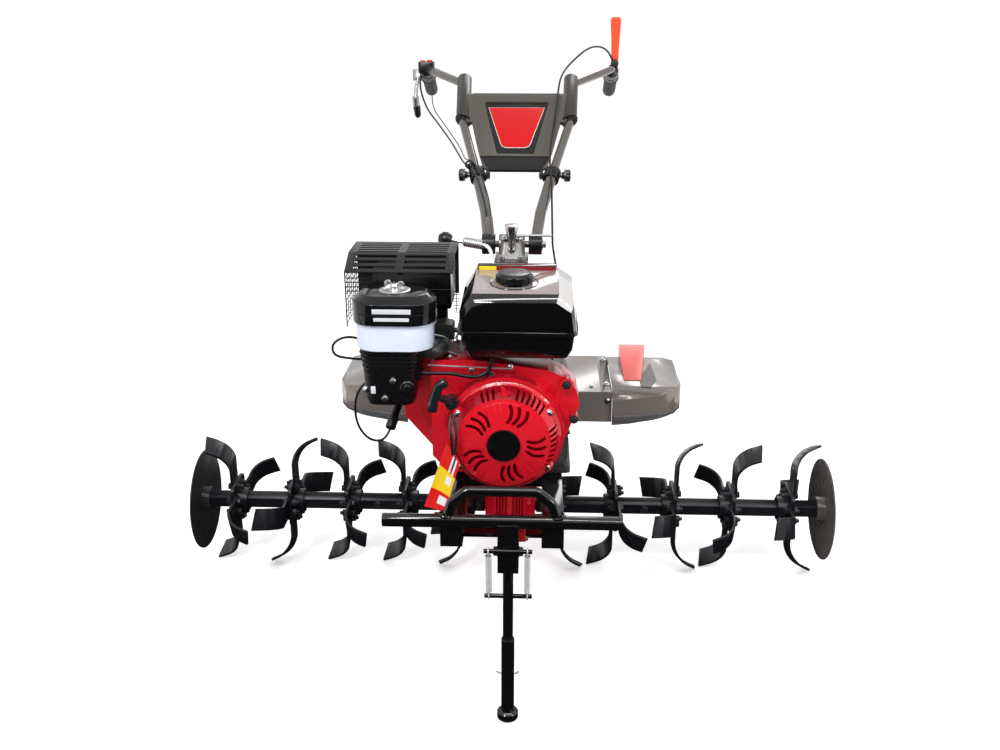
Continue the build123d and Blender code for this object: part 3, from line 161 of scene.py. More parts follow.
FLOOR_SIZE = 60
FLOOR_DROP = 0.0006
FLOOR_SHADE = 0.93
FLOOR_LIFT = 0.46
bpy.ops.mesh.primitive_plane_add(size=FLOOR_SIZE, location=(0, 0, -FLOOR_DROP))
floor = bpy.context.object
floor.name = "floor"
floor_paint = bpy.data.materials.new("floor_white")
floor_paint.use_nodes = True
tree = floor_paint.node_tree
tree.nodes.clear()
matt = added(tree, "BsdfDiffuse", {"Color": (FLOOR_SHADE, FLOOR_SHADE, FLOOR_SHADE, 1.0)})
glow = added(tree, "Emission", {"Strength": FLOOR_LIFT})
nothing = added(tree, "Emission", {"Strength": 0.0})
lift = added(tree, "MixShader", {0: seen_directly(tree), 1: nothing.outputs[0], 2: glow.outputs[0]})
both = added(tree, "AddShader", {0: matt.outputs[0], 1: lift.outputs[0]})
added(tree, "OutputMaterial", {"Surface": both.outputs[0]})
floor.data.materials.append(floor_paint)
floor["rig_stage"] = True

CARD_AHEAD = 1.45
CARD_BACK = 0.9
CARD_WIDTH = 3.4
CARD_TALL = 1.05
CARD_LIFT = 0.003
CARD_SHADE = (0.012, 0.012, 0.014, 1.0)
bpy.ops.mesh.primitive_plane_add(
    size=1, location=(0, ROTOR_Y - CARD_AHEAD, CARD_TALL / 2 + CARD_LIFT), rotation=(math.pi / 2, 0, 0))
upright = bpy.context.object
upright.scale = (CARD_WIDTH, CARD_TALL, 1)
bpy.ops.mesh.primitive_plane_add(size=1, location=(0, ROTOR_Y + (CARD_BACK - CARD_AHEAD) / 2, CARD_LIFT))
card = bpy.context.object
card.name = "dark_card"
card.scale = (CARD_WIDTH, CARD_AHEAD + CARD_BACK, 1)
upright.select_set(True)
bpy.ops.object.join()
card.visible_camera = False
card.visible_diffuse = False
card.visible_shadow = False
card.visible_transmission = False
card_paint = bpy.data.materials.new("card_black")
card_paint.use_nodes = True
fed(card_paint.node_tree.nodes["Principled BSDF"], {"Base Color": CARD_SHADE, "Specular IOR Level": 0.0})
card.data.materials.append(card_paint)
card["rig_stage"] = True

# ---- Cables and fuel hose ----
# Plastic-covered control cables run from the hand levers down the bars to stops at the clamps, a thin wire
# runs beside the clutch cable, and a plug lead and a rubber hose serve the engine.

# name, CAD node, body, diameter, tube length, points in mm about the rotor's axis
ROUTES = [
    ("clutch_cable", "cable_left", "handlebar", 5.0, 0.753, [
        (-276, 712, 1148), (-276, 686, 1148), (-275, 666, 1120), (-265, 646, 1090), (-248, 622, 1060),
        (-223, 584, 1038), (-198, 530, 1017), (-174, 470, 998), (-154, 410, 981), (-138, 350, 969),
        (-124, 295, 964), (-107, 240, 970), (-87, 188, 945), (-74, 144, 916), (-65, 110, 894),
        (-60, 80, 874)]),
    ("pod_wire", "cable_left", "handlebar", 3.0, 0.743, [
        (-244, 694, 1158), (-244, 694, 1132), (-243, 676, 1106), (-240, 646, 1084), (-230, 606, 1064),
        (-212, 566, 1048), (-190, 516, 1030), (-167, 461, 1010), (-147, 404, 994), (-134, 348, 983),
        (-125, 294, 977), (-101, 240, 984), (-79, 186, 956), (-63, 140, 926), (-54, 104, 900),
        (-50, 78, 876)]),
    ("safety_cable", "cable_right", "handlebar", 5.0, 0.872, [
        (262, 722, 1188), (250, 704, 1216), (222, 676, 1232), (190, 640, 1229), (159, 600, 1208),
        (132, 560, 1185), (115, 516, 1164), (108, 471, 1140), (102, 409, 1091), (95, 353, 1048),
        (88, 296, 1008), (86, 244, 976), (91, 190, 938), (92, 136, 898), (93, 84, 856), (94, 41, 821.7)]),
    ("engine_cable", "engine_cables", "machine", 5.0, 0.350, [
        (94, 39, 820.3), (98, 4, 800), (104, -36, 776), (108, -76, 746), (108, -116, 714), (104, -160, 696),
        (98, -200, 688), (94, -236, 671), (94, -236, 635)]),
    ("plug_lead", "engine_cables", "machine", 5.0, 0.516, [
        (-205.9, -368, 684), (-232, -368, 684), (-262, -366, 702), (-292, -369, 721), (-322, -378, 727),
        (-346, -385, 714), (-344, -387, 690), (-314, -382, 682), (-262, -371, 676), (-250, -369, 658),
        (-262, -372, 638), (-288, -379, 628), (-304, -384, 602), (-307, -386, 564), (-298, -388, 530),
        (-274, -390, 506), (-244.5, -385.9, 508.5), (-238, -370, 528)]),
    ("fuel_hose_rubber", "fuel_hose", "machine", 8.0, 0.165, [
        (-162, -440, 674), (-132, -440, 674), (-103, -444, 676), (-74, -446, 670), (-48, -444, 669),
        (-27, -439, 684), (-24, -438, 710)]),
]


def at(x, y, z):
    """Place in metres of a point in mm about the rotor's axis, with the floor at 0."""
    return Vector((x / 1000, y / 1000 + ROTOR_Y, z / 1000))


def round_line(name, points, diameter, sides, steps):
    """Curve with a round section that follows points in mm, smoothly."""
    line = bpy.data.curves.new(name, "CURVE")
    line.dimensions = "3D"
    line.bevel_depth = diameter / 2000
    line.bevel_resolution = sides
    line.resolution_u = steps
    line.use_fill_caps = True
    spline = line.splines.new("NURBS")
    spline.points.add(len(points) - 1)
    for point, place in zip(spline.points, points):
        point.co = (*at(*place), 1.0)
    spline.order_u = 3
    spline.use_endpoint_u = True
    piece = bpy.data.objects.new(name, line)
    bpy.context.scene.collection.objects.link(piece)
    return piece


# the colour sockets of a Mix node, and the colour of the dust that may lie in patches on a paint
MIX_FIRST = 6
MIX_SECOND = 7
MIX_RESULT = 2
DUST = (0.03, 0.03, 0.033, 1.0)


def surface(name, colour, roughness, shade=0.12, spots=60.0, pits=0.05, pit_scale=900.0, metallic=0.0,
            coat=0.0, coat_roughness=0.1, specular=0.5, rough_spread=0.06, dust=0.0):
    """Material whose colour, gloss and fine surface vary over the piece by noise on its own coordinates."""
    material = bpy.data.materials.new(name)
    material.use_nodes = True
    tree = material.node_tree
    place = added(tree, "TexCoord").outputs["Object"]
    cloud = added(tree, "TexNoise", {"Vector": place, "Scale": spots, "Detail": 5.0}).outputs["Fac"]
    deep_tone = (*[c * (1 - shade) for c in colour], 1.0)
    pale_tone = (*[min(1.0, c * (1 + shade)) for c in colour], 1.0)
    tones = added(tree, "Mix", {0: cloud, MIX_FIRST: deep_tone, MIX_SECOND: pale_tone}, data_type="RGBA")
    if dust:
        film = added(tree, "TexNoise", {"Vector": place, "Scale": spots / 6, "Detail": 8.0, "Roughness": 0.7})
        amount = added(tree, "MapRange", {
            "Value": film.outputs["Fac"], "From Min": 0.5, "From Max": 0.8, "To Max": dust})
        tones = added(tree, "Mix", {0: amount.outputs["Result"], MIX_FIRST: tones.outputs[MIX_RESULT],
                                    MIX_SECOND: DUST}, data_type="RGBA")
    gloss = added(tree, "MapRange", {"Value": cloud, "To Min": max(0.02, roughness - rough_spread),
                                     "To Max": min(1.0, roughness + rough_spread)})
    grain = added(tree, "TexNoise", {"Vector": place, "Scale": pit_scale, "Detail": 3.0})
    bump = added(tree, "Bump", {"Height": grain.outputs["Fac"], "Strength": pits, "Distance": 0.001})
    fed(tree.nodes["Principled BSDF"], {
        "Base Color": tones.outputs[MIX_RESULT], "Roughness": gloss.outputs["Result"],
        "Normal": bump.outputs["Normal"], "Metallic": metallic, "Coat Weight": coat,
        "Coat Roughness": coat_roughness, "Specular IOR Level": specular})
    return material


black_rubber = surface("black_rubber", (0.005, 0.005, 0.006), 0.36, spots=180, pits=0.12, pit_scale=1500,
                       specular=0.35)
for name, node, body, diameter, tube_length, points in ROUTES:
    cord = round_line(name, points, diameter, 4, 10)
    cord.data.materials.append(black_rubber)
    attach(cord, body)
    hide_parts(node)


# ---- Rotor: axle, tubes, tine sets and guard discs ----
# Forged blades with a long curve, painted blue-black, bolted in fours to square flanges on hexagon tubes.
# Dished discs at both ends keep the tines off the plants beside the row. Every bolt has a nut and washer.
MERGE_GAP = 0.00001
CASTING_CREASE = math.radians(32)
FITTING_CREASE = math.radians(35)
UP = (0, 0, 1)


def only(*pieces):
    """Select these pieces and no others, with the first one active."""
    bpy.ops.object.select_all(action="DESELECT")
    for piece in pieces:
        piece.select_set(True)
    bpy.context.view_layer.objects.active = pieces[0]


def joined(*pieces):
    """These pieces made one."""
    only(*pieces)
    if len(pieces) > 1:
        bpy.ops.object.join()
    return bpy.context.object


def rounded(piece, width, crease, hardened=False):
    """Round over the active piece's sharp edges by a width in mm, and shade the rest smooth."""
    if width:
        edge = piece.modifiers.new("edge", "BEVEL")
        edge.width = width / 1000
        edge.segments = 2
        edge.limit_method = "ANGLE"
        edge.angle_limit = crease
        edge.harden_normals = hardened
        bpy.ops.object.modifier_apply(modifier=edge.name)
    bpy.ops.object.shade_smooth_by_angle(angle=crease)


def opened(action):
    """Enter edit mode with everything selected, or nothing."""
    bpy.ops.object.mode_set(mode="EDIT")
    bpy.ops.mesh.select_all(action=action)


def dressed(node, material, width):
    """The node's mesh with its seams merged and its edges rounded over, standing for the node."""
    source = frame["nodes"][node]
    piece = bpy.data.objects.new(node + "_made", source.data.copy())
    bpy.context.scene.collection.objects.link(piece)
    only(piece)
    opened("SELECT")
    bpy.ops.mesh.remove_doubles(threshold=MERGE_GAP)
    bpy.ops.mesh.dissolve_limited(angle_limit=math.radians(0.5))
    bpy.ops.object.mode_set(mode="OBJECT")
    rounded(piece, width, CASTING_CREASE, hardened=True)
    piece.data.materials.clear()
    piece.data.materials.append(material)
    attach(piece, source["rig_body"])
    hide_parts(node)
    return piece


def faced_out():
    """Point all faces of the mesh in edit mode outwards, and leave edit mode."""
    bpy.ops.mesh.select_all(action="SELECT")
    bpy.ops.mesh.normals_make_consistent(inside=False)
    bpy.ops.object.mode_set(mode="OBJECT")


def turned(sides, rings):
    """Closed shape turned on the Z axis at the origin, from (radius, height) rings in mm."""
    radius, height = rings[0]
    bpy.ops.object.select_all(action="DESELECT")
    bpy.ops.mesh.primitive_circle_add(
        vertices=sides, radius=radius / 1000, fill_type="NGON", location=(0, 0, height / 1000))
    bpy.ops.object.transform_apply()
    opened("SELECT")
    for wide, high in rings[1:]:
        bpy.ops.mesh.extrude_region_move(TRANSFORM_OT_translate={"value": (0, 0, (high - height) / 1000)})
        ratio = wide / radius
        bpy.ops.transform.resize(value=(ratio, ratio, 1), center_override=(0, 0, high / 1000))
        radius, height = wide, high
    faced_out()
    return bpy.context.object


def copied(pattern, place, axis=UP, roll=0.0):
    """Copy of a pattern made about the Z axis, moved to a place in mm and turned along an axis."""
    twin = pattern.copy()
    twin.data = pattern.data.copy()
    bpy.context.scene.collection.objects.link(twin)
    turn = Vector(axis).to_track_quat("Z", "Y").to_matrix().to_4x4()
    twin.matrix_world = Matrix.Translation(at(*place)) @ turn @ Matrix.Rotation(math.radians(roll), 4, "Z")
    return twin


def finished(piece, name, material, body, edge=0.0):
    """Name a new piece, set its place in its mesh, round its edges and give it material and body."""
    only(piece)
    bpy.ops.object.transform_apply()
    rounded(piece, edge, FITTING_CREASE)
    piece.data.materials.clear()
    piece.data.materials.append(material)
    piece.name = name
    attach(piece, body)
    return piece


def spread(pattern, spots, name, material, body, edge=0.0):
    """One piece of copies of a pattern, one for each spot: a place, an axis and a roll. The pattern goes."""
    twins = [copied(pattern, *spot) for spot in spots]
    bpy.data.objects.remove(pattern)
    return finished(joined(*twins), name, material, body, edge)


def bolt_head(flats, height, washer):
    """Chamfered hexagon head on the Z axis, on a washer of a radius."""
    corner = flats / math.sqrt(3)
    head = turned(6, [(corner, 0), (corner, height - 1), (corner - 1.2, height)])
    return joined(head, turned(20, [(washer, -0.2), (washer, 1.2), (washer - 0.6, 1.8)]))


tine_paint = surface("tine_paint", (0.0065, 0.0075, 0.0105), 0.36, shade=0.3, spots=45, pits=0.12,
                     pit_scale=500, rough_spread=0.12, specular=0.35, dust=0.2)
# one disc paint in two copies: the left disc's is darkened and the right disc's is lightened for the
# reflection on its face, painted shade and painted light
disc_with_painted_shade = surface("painted_shade_left_disc", (0.02, 0.019, 0.02), 0.34, shade=0.3, spots=9, pits=0.06,
                    pit_scale=700, specular=0.3)
painted_light_right_disc = surface("painted_light_right_disc", (0.082, 0.07, 0.066), 0.28, shade=0.3, spots=9, pits=0.06, pit_scale=700,
                     specular=0.4)
dark_steel = surface("dark_steel", (0.025, 0.026, 0.03), 0.38, spots=150, pits=0.2, metallic=0.4,
                     specular=0.3)
bolt_steel = surface("bolt_steel", (0.55, 0.55, 0.56), 0.3, spots=150, pits=0.15, metallic=1.0)
AXIS = ROTOR_Z * 1000
FIRST_SET = 117
SET_PITCH = 142
FLANGE_FACE = 4
BLADE_FACE = 10
BOLT_REACH = 41
BOLT_APART = 13
HEAD_ROLL = 17
NUT_ROLL = 11
# bends of the blades up, front, down and back, for the sets from the middle outwards on each side
BENDS = {
    -1: [(-1, -1, -1, 1), (-1, 1, -1, 1), (-1, 1, -1, 1), (1, -1, -1, 1), (-1, 1, -1, 1)],
    1: [(-1, -1, 1, 1), (-1, 1, -1, -1), (1, -1, 1, -1), (1, -1, -1, -1), (1, -1, 1, 1)],
}
heads = []
nuts = []
for side, label in ((-1, "left"), (1, "right")):
    for place, bends in enumerate(BENDS[side]):
        dressed(f"tine_set_{label}_{place + 1}", tine_paint, 0.9)
        set_x = side * (FIRST_SET + SET_PITCH * place)
        for quarter, bend in enumerate(bends):
            for across in (-BOLT_APART, BOLT_APART):
                angle = math.radians(90 * quarter)
                y = across * math.cos(angle) - BOLT_REACH * math.sin(angle)
                z = AXIS + across * math.sin(angle) + BOLT_REACH * math.cos(angle)
                heads.append(((set_x + bend * BLADE_FACE, y, z), (bend, 0, 0), HEAD_ROLL * quarter))
                nuts.append(((set_x - bend * FLANGE_FACE, y, z), (-bend, 0, 0), NUT_ROLL * quarter))
    dressed(f"rotor_tube_{label}", tine_paint, 0.9)
    # the right disc takes the copy with painted light, the left disc the copy with painted shade
    dressed(f"guard_disc_{label}", painted_light_right_disc if side > 0 else disc_with_painted_shade, 0.8)
dressed("rotor_axle", tine_paint, 0.9)
spread(bolt_head(15, 8, 9.5), heads, "tine_bolt_heads", dark_steel, "rotor")
nut = joined(bolt_head(15, 10, 9.5), turned(12, [(4.5, 0), (4.5, 15), (3.8, 16)]))
spread(nut, nuts, "tine_bolt_nuts", dark_steel, "rotor")

PIN_PLACES = (-330, -78, 78, 330)
TUBE_HALF = 20
pins = [((x, way * TUBE_HALF, AXIS), (0, way, 0), 10) for x in PIN_PLACES for way in (-1, 1)]
spread(bolt_head(17, 8.3, 11), pins, "tube_pin_heads", dark_steel, "rotor")

HUB_FACE = 775
HUB_BOLT_REACH = 22
hub_bolts = []
for way in (-1, 1):
    for turn in range(4):
        angle = math.radians(45 + 90 * turn)
        y = HUB_BOLT_REACH * math.cos(angle)
        z = AXIS + HUB_BOLT_REACH * math.sin(angle)
        hub_bolts.append(((way * HUB_FACE, y, z), (way, 0, 0), 20 * turn))
spread(bolt_head(10, 5, 6.5), hub_bolts, "disc_hub_bolts", dark_steel, "rotor")

# ---- Frame, bumper, stand and hitch ----
# Rolled channel and tube in gloss black enamel, welded at the joints. The folding stand turns on a bolt in
# a bracket below the bumper, two plated coil springs hold it, and split pins keep its foot in the sleeve.
black_paint = surface("black_enamel", (0.003, 0.0028, 0.003), 0.13, spots=30, pit_scale=350,
                      rough_spread=0.04, coat=0.25, coat_roughness=0.04)
for node in ("frame", "bumper", "stand_bracket", "stand_leg", "stand_foot", "rear_hitch", "depth_stake"):
    dressed(node, black_paint, 0.9)


def wire(points, diameter):
    """Mesh of a round wire that curves along points in mm."""
    piece = round_line("wire", points, diameter, 3, 6)
    only(piece)
    bpy.ops.object.convert(target="MESH")
    return bpy.context.object


def wound(radius, thick, sides, steps, rise=0.0, turns=1):
    """Wire's section swept about the Z axis, in mm: a closed ring, or a coil that rises at each turn."""
    bpy.ops.object.select_all(action="DESELECT")
    bpy.ops.mesh.primitive_circle_add(
        vertices=sides, radius=thick / 2000, location=(radius / 1000, 0, 0), rotation=(math.pi / 2, 0, 0))
    bpy.ops.object.transform_apply()
    sweep = bpy.context.object.modifiers.new("sweep", "SCREW")
    sweep.screw_offset = rise / 1000
    sweep.iterations = turns
    sweep.steps = steps
    sweep.render_steps = steps
    sweep.use_merge_vertices = not rise
    sweep.merge_threshold = MERGE_GAP
    bpy.ops.object.modifier_apply(modifier=sweep.name)
    bpy.ops.object.mode_set(mode="EDIT")
    faced_out()
    return bpy.context.object


def ring(radius, thick):
    """Round ring about the Z axis at the origin, in mm."""
    return wound(radius, thick, 10, 40)


def both_ends(x, y, z, roll=0.0):
    """Spots at the same distance to the left and right of the middle, facing outwards."""
    return [((way * x, y, z), (way, 0, 0), roll) for way in (-1, 1)]


BUMPER_Y = -592
BUMPER_Z = 434
BUMPER_HALF = 224
BUMPER_RADIUS = 13
HOOP_FOOT = 106
HOOP_LEAN = -0.2
welds = [((way * HOOP_FOOT, BUMPER_Y, BUMPER_Z + BUMPER_RADIUS), (way * HOOP_LEAN, 0, 1)) for way in (-1, 1)]
spread(ring(11.5, 5), welds, "hoop_welds", black_paint, "machine")
black_plastic = surface("black_plastic", (0.0045, 0.0045, 0.0055), 0.28, spots=90, pits=0.1, pit_scale=800,
                        specular=0.4)
spread(turned(32, [(11.5, -3), (11.5, 0.5), (10, 1.5), (2, 1.7)]), both_ends(BUMPER_HALF, BUMPER_Y, BUMPER_Z),
       "bumper_plugs", black_plastic, "machine")

STAND_X = 12
PIVOT_Z = 371
BRACKET_HALF = 20
bracket_ends = [((STAND_X + way * BRACKET_HALF, BUMPER_Y, PIVOT_Z), (way, 0, 0), 15) for way in (-1, 1)]
spread(bolt_head(16, 8.5, 10.5), bracket_ends, "stand_pivot_bolt", dark_steel, "machine")

zinc = surface("zinc_plate", (0.86, 0.87, 0.89), 0.22, spots=80, metallic=0.6)
SPRING_APART = 37
SPRING_TOP = (-614, 383)
SPRING_LOW = (-595, 275)
COIL_RADIUS = 4.9
COIL_WIRE = 2.3
COIL_TURNS = 34
HOOK_LENGTH = 11
HOOK_OVERLAP = 2
EYE_RADIUS = 6.6
EYE_INSIDE = 6.4
spring_fall = Vector((0, SPRING_LOW[0] - SPRING_TOP[0], SPRING_LOW[1] - SPRING_TOP[1]))
along = spring_fall.normalized()
coil_rise = (spring_fall.length - 2 * HOOK_LENGTH) / COIL_TURNS
coil = wound(COIL_RADIUS, COIL_WIRE, 8, 14, coil_rise, COIL_TURNS)
eye = ring(EYE_RADIUS, COIL_WIRE)
for side, label in ((-1, "left"), (1, "right")):
    x = STAND_X + side * SPRING_APART
    top = Vector((x, *SPRING_TOP))
    low = Vector((x, *SPRING_LOW))
    pieces = [copied(coil, top + along * HOOK_LENGTH, spring_fall)]
    for end in (top, low):
        pieces.append(copied(eye, end, (1, 0, 0)))
    for end, way in ((top, 1), (low, -1)):
        near = end + along * way * EYE_INSIDE
        far = end + along * way * (HOOK_LENGTH + HOOK_OVERLAP)
        pieces.append(wire([near, (near + far) / 2, far], COIL_WIRE))
    spring = finished(joined(*pieces), f"coil_spring_{label}", zinc, "stand_springs")
    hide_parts(f"stand_spring_{label}")
bpy.data.objects.remove(coil)
bpy.data.objects.remove(eye)

SLEEVE_HALF = 13.5
SLEEVE_Y = -600.6
SLEEVE_Z = 102
clip = wire([(0, 0, -8), (0, 0, 8), (3, 0, 12), (6, 0, 8), (3, 0, 3), (0, 0, 1)], 1.8)
clip.location = -at(0, 0, 0)
only(clip)
bpy.ops.object.transform_apply()
clips = [((STAND_X + way * SLEEVE_HALF, SLEEVE_Y, SLEEVE_Z), (way * 0.7, 0, 0.5), roll)
         for way, roll in ((-1, 0), (1, 180))]
spread(clip, clips, "sleeve_pins", bolt_steel, "stand")

# ---- Gear case, clutch housing and engine block ----
# Red enamelled castings with upright ribs carry the drive down to the axle, behind a cast engine block with
# a rubber boot on its plug. A red block with a brass nipple stands on the frame's front tie.
red_paint = surface("red_enamel", (0.56, 0.004, 0.015), 0.2, shade=0.1, spots=14, pit_scale=260, specular=0.4,
                    coat=0.35, coat_roughness=0.05)
cast_grey = surface("cast_aluminium", (0.075, 0.072, 0.07), 0.5, shade=0.25, pits=0.4, pit_scale=420,
                    metallic=0.5, specular=0.3)
dressed("gear_case", red_paint, 1.2)
for node in ("clutch_housing", "crankcase", "cylinder"):
    dressed(node, cast_grey, 1.0)
dressed("valve_cover", black_paint, 0.8)


def slab(size):
    """Box of a size in mm on the origin, ready to be shaped."""
    bpy.ops.object.select_all(action="DESELECT")
    bpy.ops.mesh.primitive_cube_add(size=1, scale=[length / 1000 for length in size])
    bpy.ops.object.transform_apply()
    return bpy.context.object


CASE_FRONT = -87
RIB_APART = (13, 20, 27, 34)
RIB_Z = 245
ribs = [((way * x, CASE_FRONT, RIB_Z),) for way in (-1, 1) for x in RIB_APART]
spread(slab((2.6, 12, 170)), ribs, "case_ribs", red_paint, "machine", edge=0.8)

BLOCK_PLACE = (37, -577, 397)
NIPPLE_PLACE = (44.5, -579, 392)
brass = surface("brass", (0.72, 0.45, 0.16), 0.3, spots=90, pits=0.1, metallic=1.0)
spread(slab((15, 12, 22)), [(BLOCK_PLACE,)], "rail_block", red_paint, "machine", edge=1.5)
spread(bolt_head(8, 5, 5), [(NIPPLE_PLACE, (1, 0, 0))], "rail_nipple", brass, "machine")

PLUG_END = Vector((-238, -370, 528))
PLUG_SEAT = Vector((-220, -326, 582))
boot = turned(24, [(8.6, -58), (8.6, -27), (10.8, -25), (10.8, 0), (9, 2), (4, 3)])
spread(boot, [(PLUG_END, PLUG_END - PLUG_SEAT)], "plug_boot", black_rubber, "machine",
       edge=0.8)

# ---- Fan cover and recoil starter ----
# Pressed steel in red enamel over the flywheel. The recoil cover is held by bolts through ears on its rim,
# has a blank round plate in the middle, and its rope ends in a moulded T grip.
shell = dressed("fan_cover", red_paint, 1.2)
drum = dressed("recoil_cover", red_paint, 1.0)


def repainted(piece, material, chosen):
    """Give a further material to the faces that chosen picks."""
    piece.data.materials.append(material)
    for face in piece.data.polygons:
        if chosen(face):
            face.material_index = len(piece.data.materials) - 1


# darker red painted on the walls that run back from the front faces, where less light falls: painted shade
painted_shade_red = surface("painted_shade_red", (0.27, 0.002, 0.008), 0.24, shade=0.15, spots=14, pit_scale=260,
                    specular=0.35)
LIT_SIDE = 0.5
for cover, aside in ((shell, 0.35), (drum, 0.62)):
    repainted(cover, painted_shade_red, lambda face: abs(face.normal.y) < aside and face.normal.x < LIT_SIDE)

FORWARD = (0, -1, 0)
CRANK_Z = 555
RECOIL_BACK = -455
RIM = 103
EAR_LENGTH = 26
ears = []
ear_bolts = []
for turn in (150, 33, -35, -145):
    x = RIM * math.cos(math.radians(turn))
    z = CRANK_Z + RIM * math.sin(math.radians(turn))
    ears.append(((x, RECOIL_BACK, z), FORWARD))
    ear_bolts.append(((x, RECOIL_BACK - EAR_LENGTH, z), FORWARD, turn))
spread(turned(24, [(12, -4), (11, 20), (9.5, 25), (8, EAR_LENGTH)]), ears, "recoil_ears", red_paint,
       "machine")
spread(bolt_head(10, 6, 7), ear_bolts, "recoil_bolts", bolt_steel, "machine")

NOTCH_AHEAD = 34
NOTCH_RISE = 97
notch_place = (0, RECOIL_BACK - NOTCH_AHEAD, CRANK_Z + NOTCH_RISE)
spread(turned(3, [(13, -14), (13, 4), (9, 8)]), [(notch_place, FORWARD, 30)], "recoil_notch", red_paint,
       "machine")

RING_RADIUS = 34.2
RING_FRONT = RECOIL_BACK - 56.5
gloss_black = surface("gloss_black", (0.003, 0.003, 0.0035), 0.22, spots=20, pits=0.02, specular=0.35)
dressed("recoil_emblem", gloss_black, 0.8)
spread(ring(RING_RADIUS, 2.4), [((0, RING_FRONT, CRANK_Z), FORWARD)], "emblem_ring", red_paint, "machine")
slate_plastic = surface("slate_plastic", (0.007, 0.011, 0.014), 0.24, spots=40, pits=0.06, pit_scale=500,
                        coat=0.2)
dressed("recoil_grip", slate_plastic, 2.0)

COVER_FRONT = -434
# place across and above the crank, and roll
COVER_BOLTS = ((-28, 112, 0), (120, 96, 20), (136, 24, 8))
cover_bolts = [((x, COVER_FRONT, CRANK_Z + z), FORWARD, roll) for x, z, roll in COVER_BOLTS]
spread(bolt_head(12, 6, 9), cover_bolts, "cover_bolts", dark_steel, "machine")

# ---- Instruction tag ----
# A thin printed card hangs from the rope's port on a loop of string, bowed a little by its own weight. Its
# print is plain fields of colour.
TAG_TOP = (Vector((-108, 562)), Vector((-83, 523)))
TAG_LOW = (Vector((-154, 428)), Vector((-114, 415)))
TAG_FRONT = -524
TAG_BOW = 5
TAG_CURL = 3
TAG_THICK = 0.8
bpy.ops.object.select_all(action="DESELECT")
bpy.ops.mesh.primitive_grid_add(x_subdivisions=20, y_subdivisions=50, size=1)
tag = bpy.context.object
card_places = []
for vertex in tag.data.vertices:
    u = vertex.co.x + 0.5
    v = 0.5 - vertex.co.y
    card_places.append((u, v))
    x, z = TAG_TOP[0].lerp(TAG_TOP[1], u).lerp(TAG_LOW[0].lerp(TAG_LOW[1], u), v)
    vertex.co = at(x, TAG_FRONT + TAG_BOW * math.sin(math.pi * v) + TAG_CURL * math.sin(math.pi * u), z)
printed = []
for face in tag.data.polygons:
    corners = [card_places[index] for index in face.vertices]
    printed.append((sum(u for u, v in corners) / 4, sum(v for u, v in corners) / 4))
tag_body = tag.modifiers.new("card", "SOLIDIFY")
tag_body.thickness = TAG_THICK / 1000
bpy.ops.object.modifier_apply(modifier=tag_body.name)
tag_red = surface("tag_red", (0.72, 0.01, 0.01), 0.35, shade=0.04, spots=12, pits=0.02, specular=0.3)
finished(tag, "instruction_tag", tag_red, "machine")
# name, colour, and each field's left, right, top and foot as shares of the card
TAG_PRINTS = [
    ("tag_yellow", (0.90, 0.60, 0.02), [(0, 1, 0.34, 0.70)]),
    ("tag_white", (0.80, 0.80, 0.79), [(0.55, 0.63, 0.05, 0.34), (0.76, 0.84, 0.05, 0.34),
                                       (0.55, 0.86, 0.40, 0.54), (0.52, 0.90, 0.76, 0.90)]),
    ("tag_dark", (0.02, 0.02, 0.02), [(0.66, 0.73, 0.02, 0.26)]),
]
for name, colour, fields in TAG_PRINTS:
    ink = surface(name, colour, 0.35, shade=0.03, spots=12, pits=0.02, specular=0.3)
    inked = 2 * [any(left < u < right and top < v < foot for left, right, top, foot in fields)
                 for u, v in printed]
    repainted(tag, ink, lambda face: face.index < len(inked) and inked[face.index])
tag_string = wire([(-97, -522, 538), (-99, -524, 566), (-103, -512, 592), (-101, -492, 616), (-93, -506, 596),
                   (-88, -520, 570), (-94, -524, 540)], 5)
finished(tag_string, "tag_string", black_rubber, "machine")

# ---- Fuel tank ----
# Two deep-drawn steel halves crimped at a seam and enamelled gloss black, with a ridged screw cap, a
# pressed ring round the neck, and two plain coloured strips along the rear ridge.
tank_black = surface("tank_enamel", (0.0025, 0.0025, 0.003), 0.09, spots=12, pits=0.035, pit_scale=110,
                     coat=0.3, coat_roughness=0.03)
# a colour much paler than the sides is painted on the level top and the right-hand slope, standing for the
# sky reflected in them: painted reflection
tank_top_painted_reflection = surface("tank_top_painted_reflection", (0.25, 0.215, 0.205), 0.16, shade=0.05, spots=8, pits=0.03, pit_scale=110,
                   coat=0.6)
tank_slope_painted_reflection = surface("tank_slope_painted_reflection", (0.5, 0.48, 0.47), 0.16, shade=0.05, spots=8, pits=0.03, pit_scale=110,
                     coat=0.6)
UPPER_FROM = 0.815
TOP_LEVEL = 0.97
SLOPE_ASIDE = 0.35
SLOPE_RISE = 0.5
ridge_front = at(0, -306, 0).y
tank = dressed("fuel_tank", tank_black, 2.2)
# the level top faces and the right-hand slope faces take the painted reflection
repainted(tank, tank_top_painted_reflection, lambda face: (
    face.center.z > UPPER_FROM and face.normal.z > TOP_LEVEL and face.center.y < ridge_front))
repainted(tank, tank_slope_painted_reflection, lambda face: (
    face.center.z > UPPER_FROM and face.normal.x > SLOPE_ASIDE and face.normal.z > SLOPE_RISE))
dressed("fuel_cap", black_plastic, 1.0)

TANK_SLOPE = 10 / 193
NECK_PLACE = (16, -382, 838 + 72 * TANK_SLOPE)
spread(ring(46, 4), [(NECK_PLACE, (0, -TANK_SLOPE, 1))], "neck_ring", tank_black, "machine")

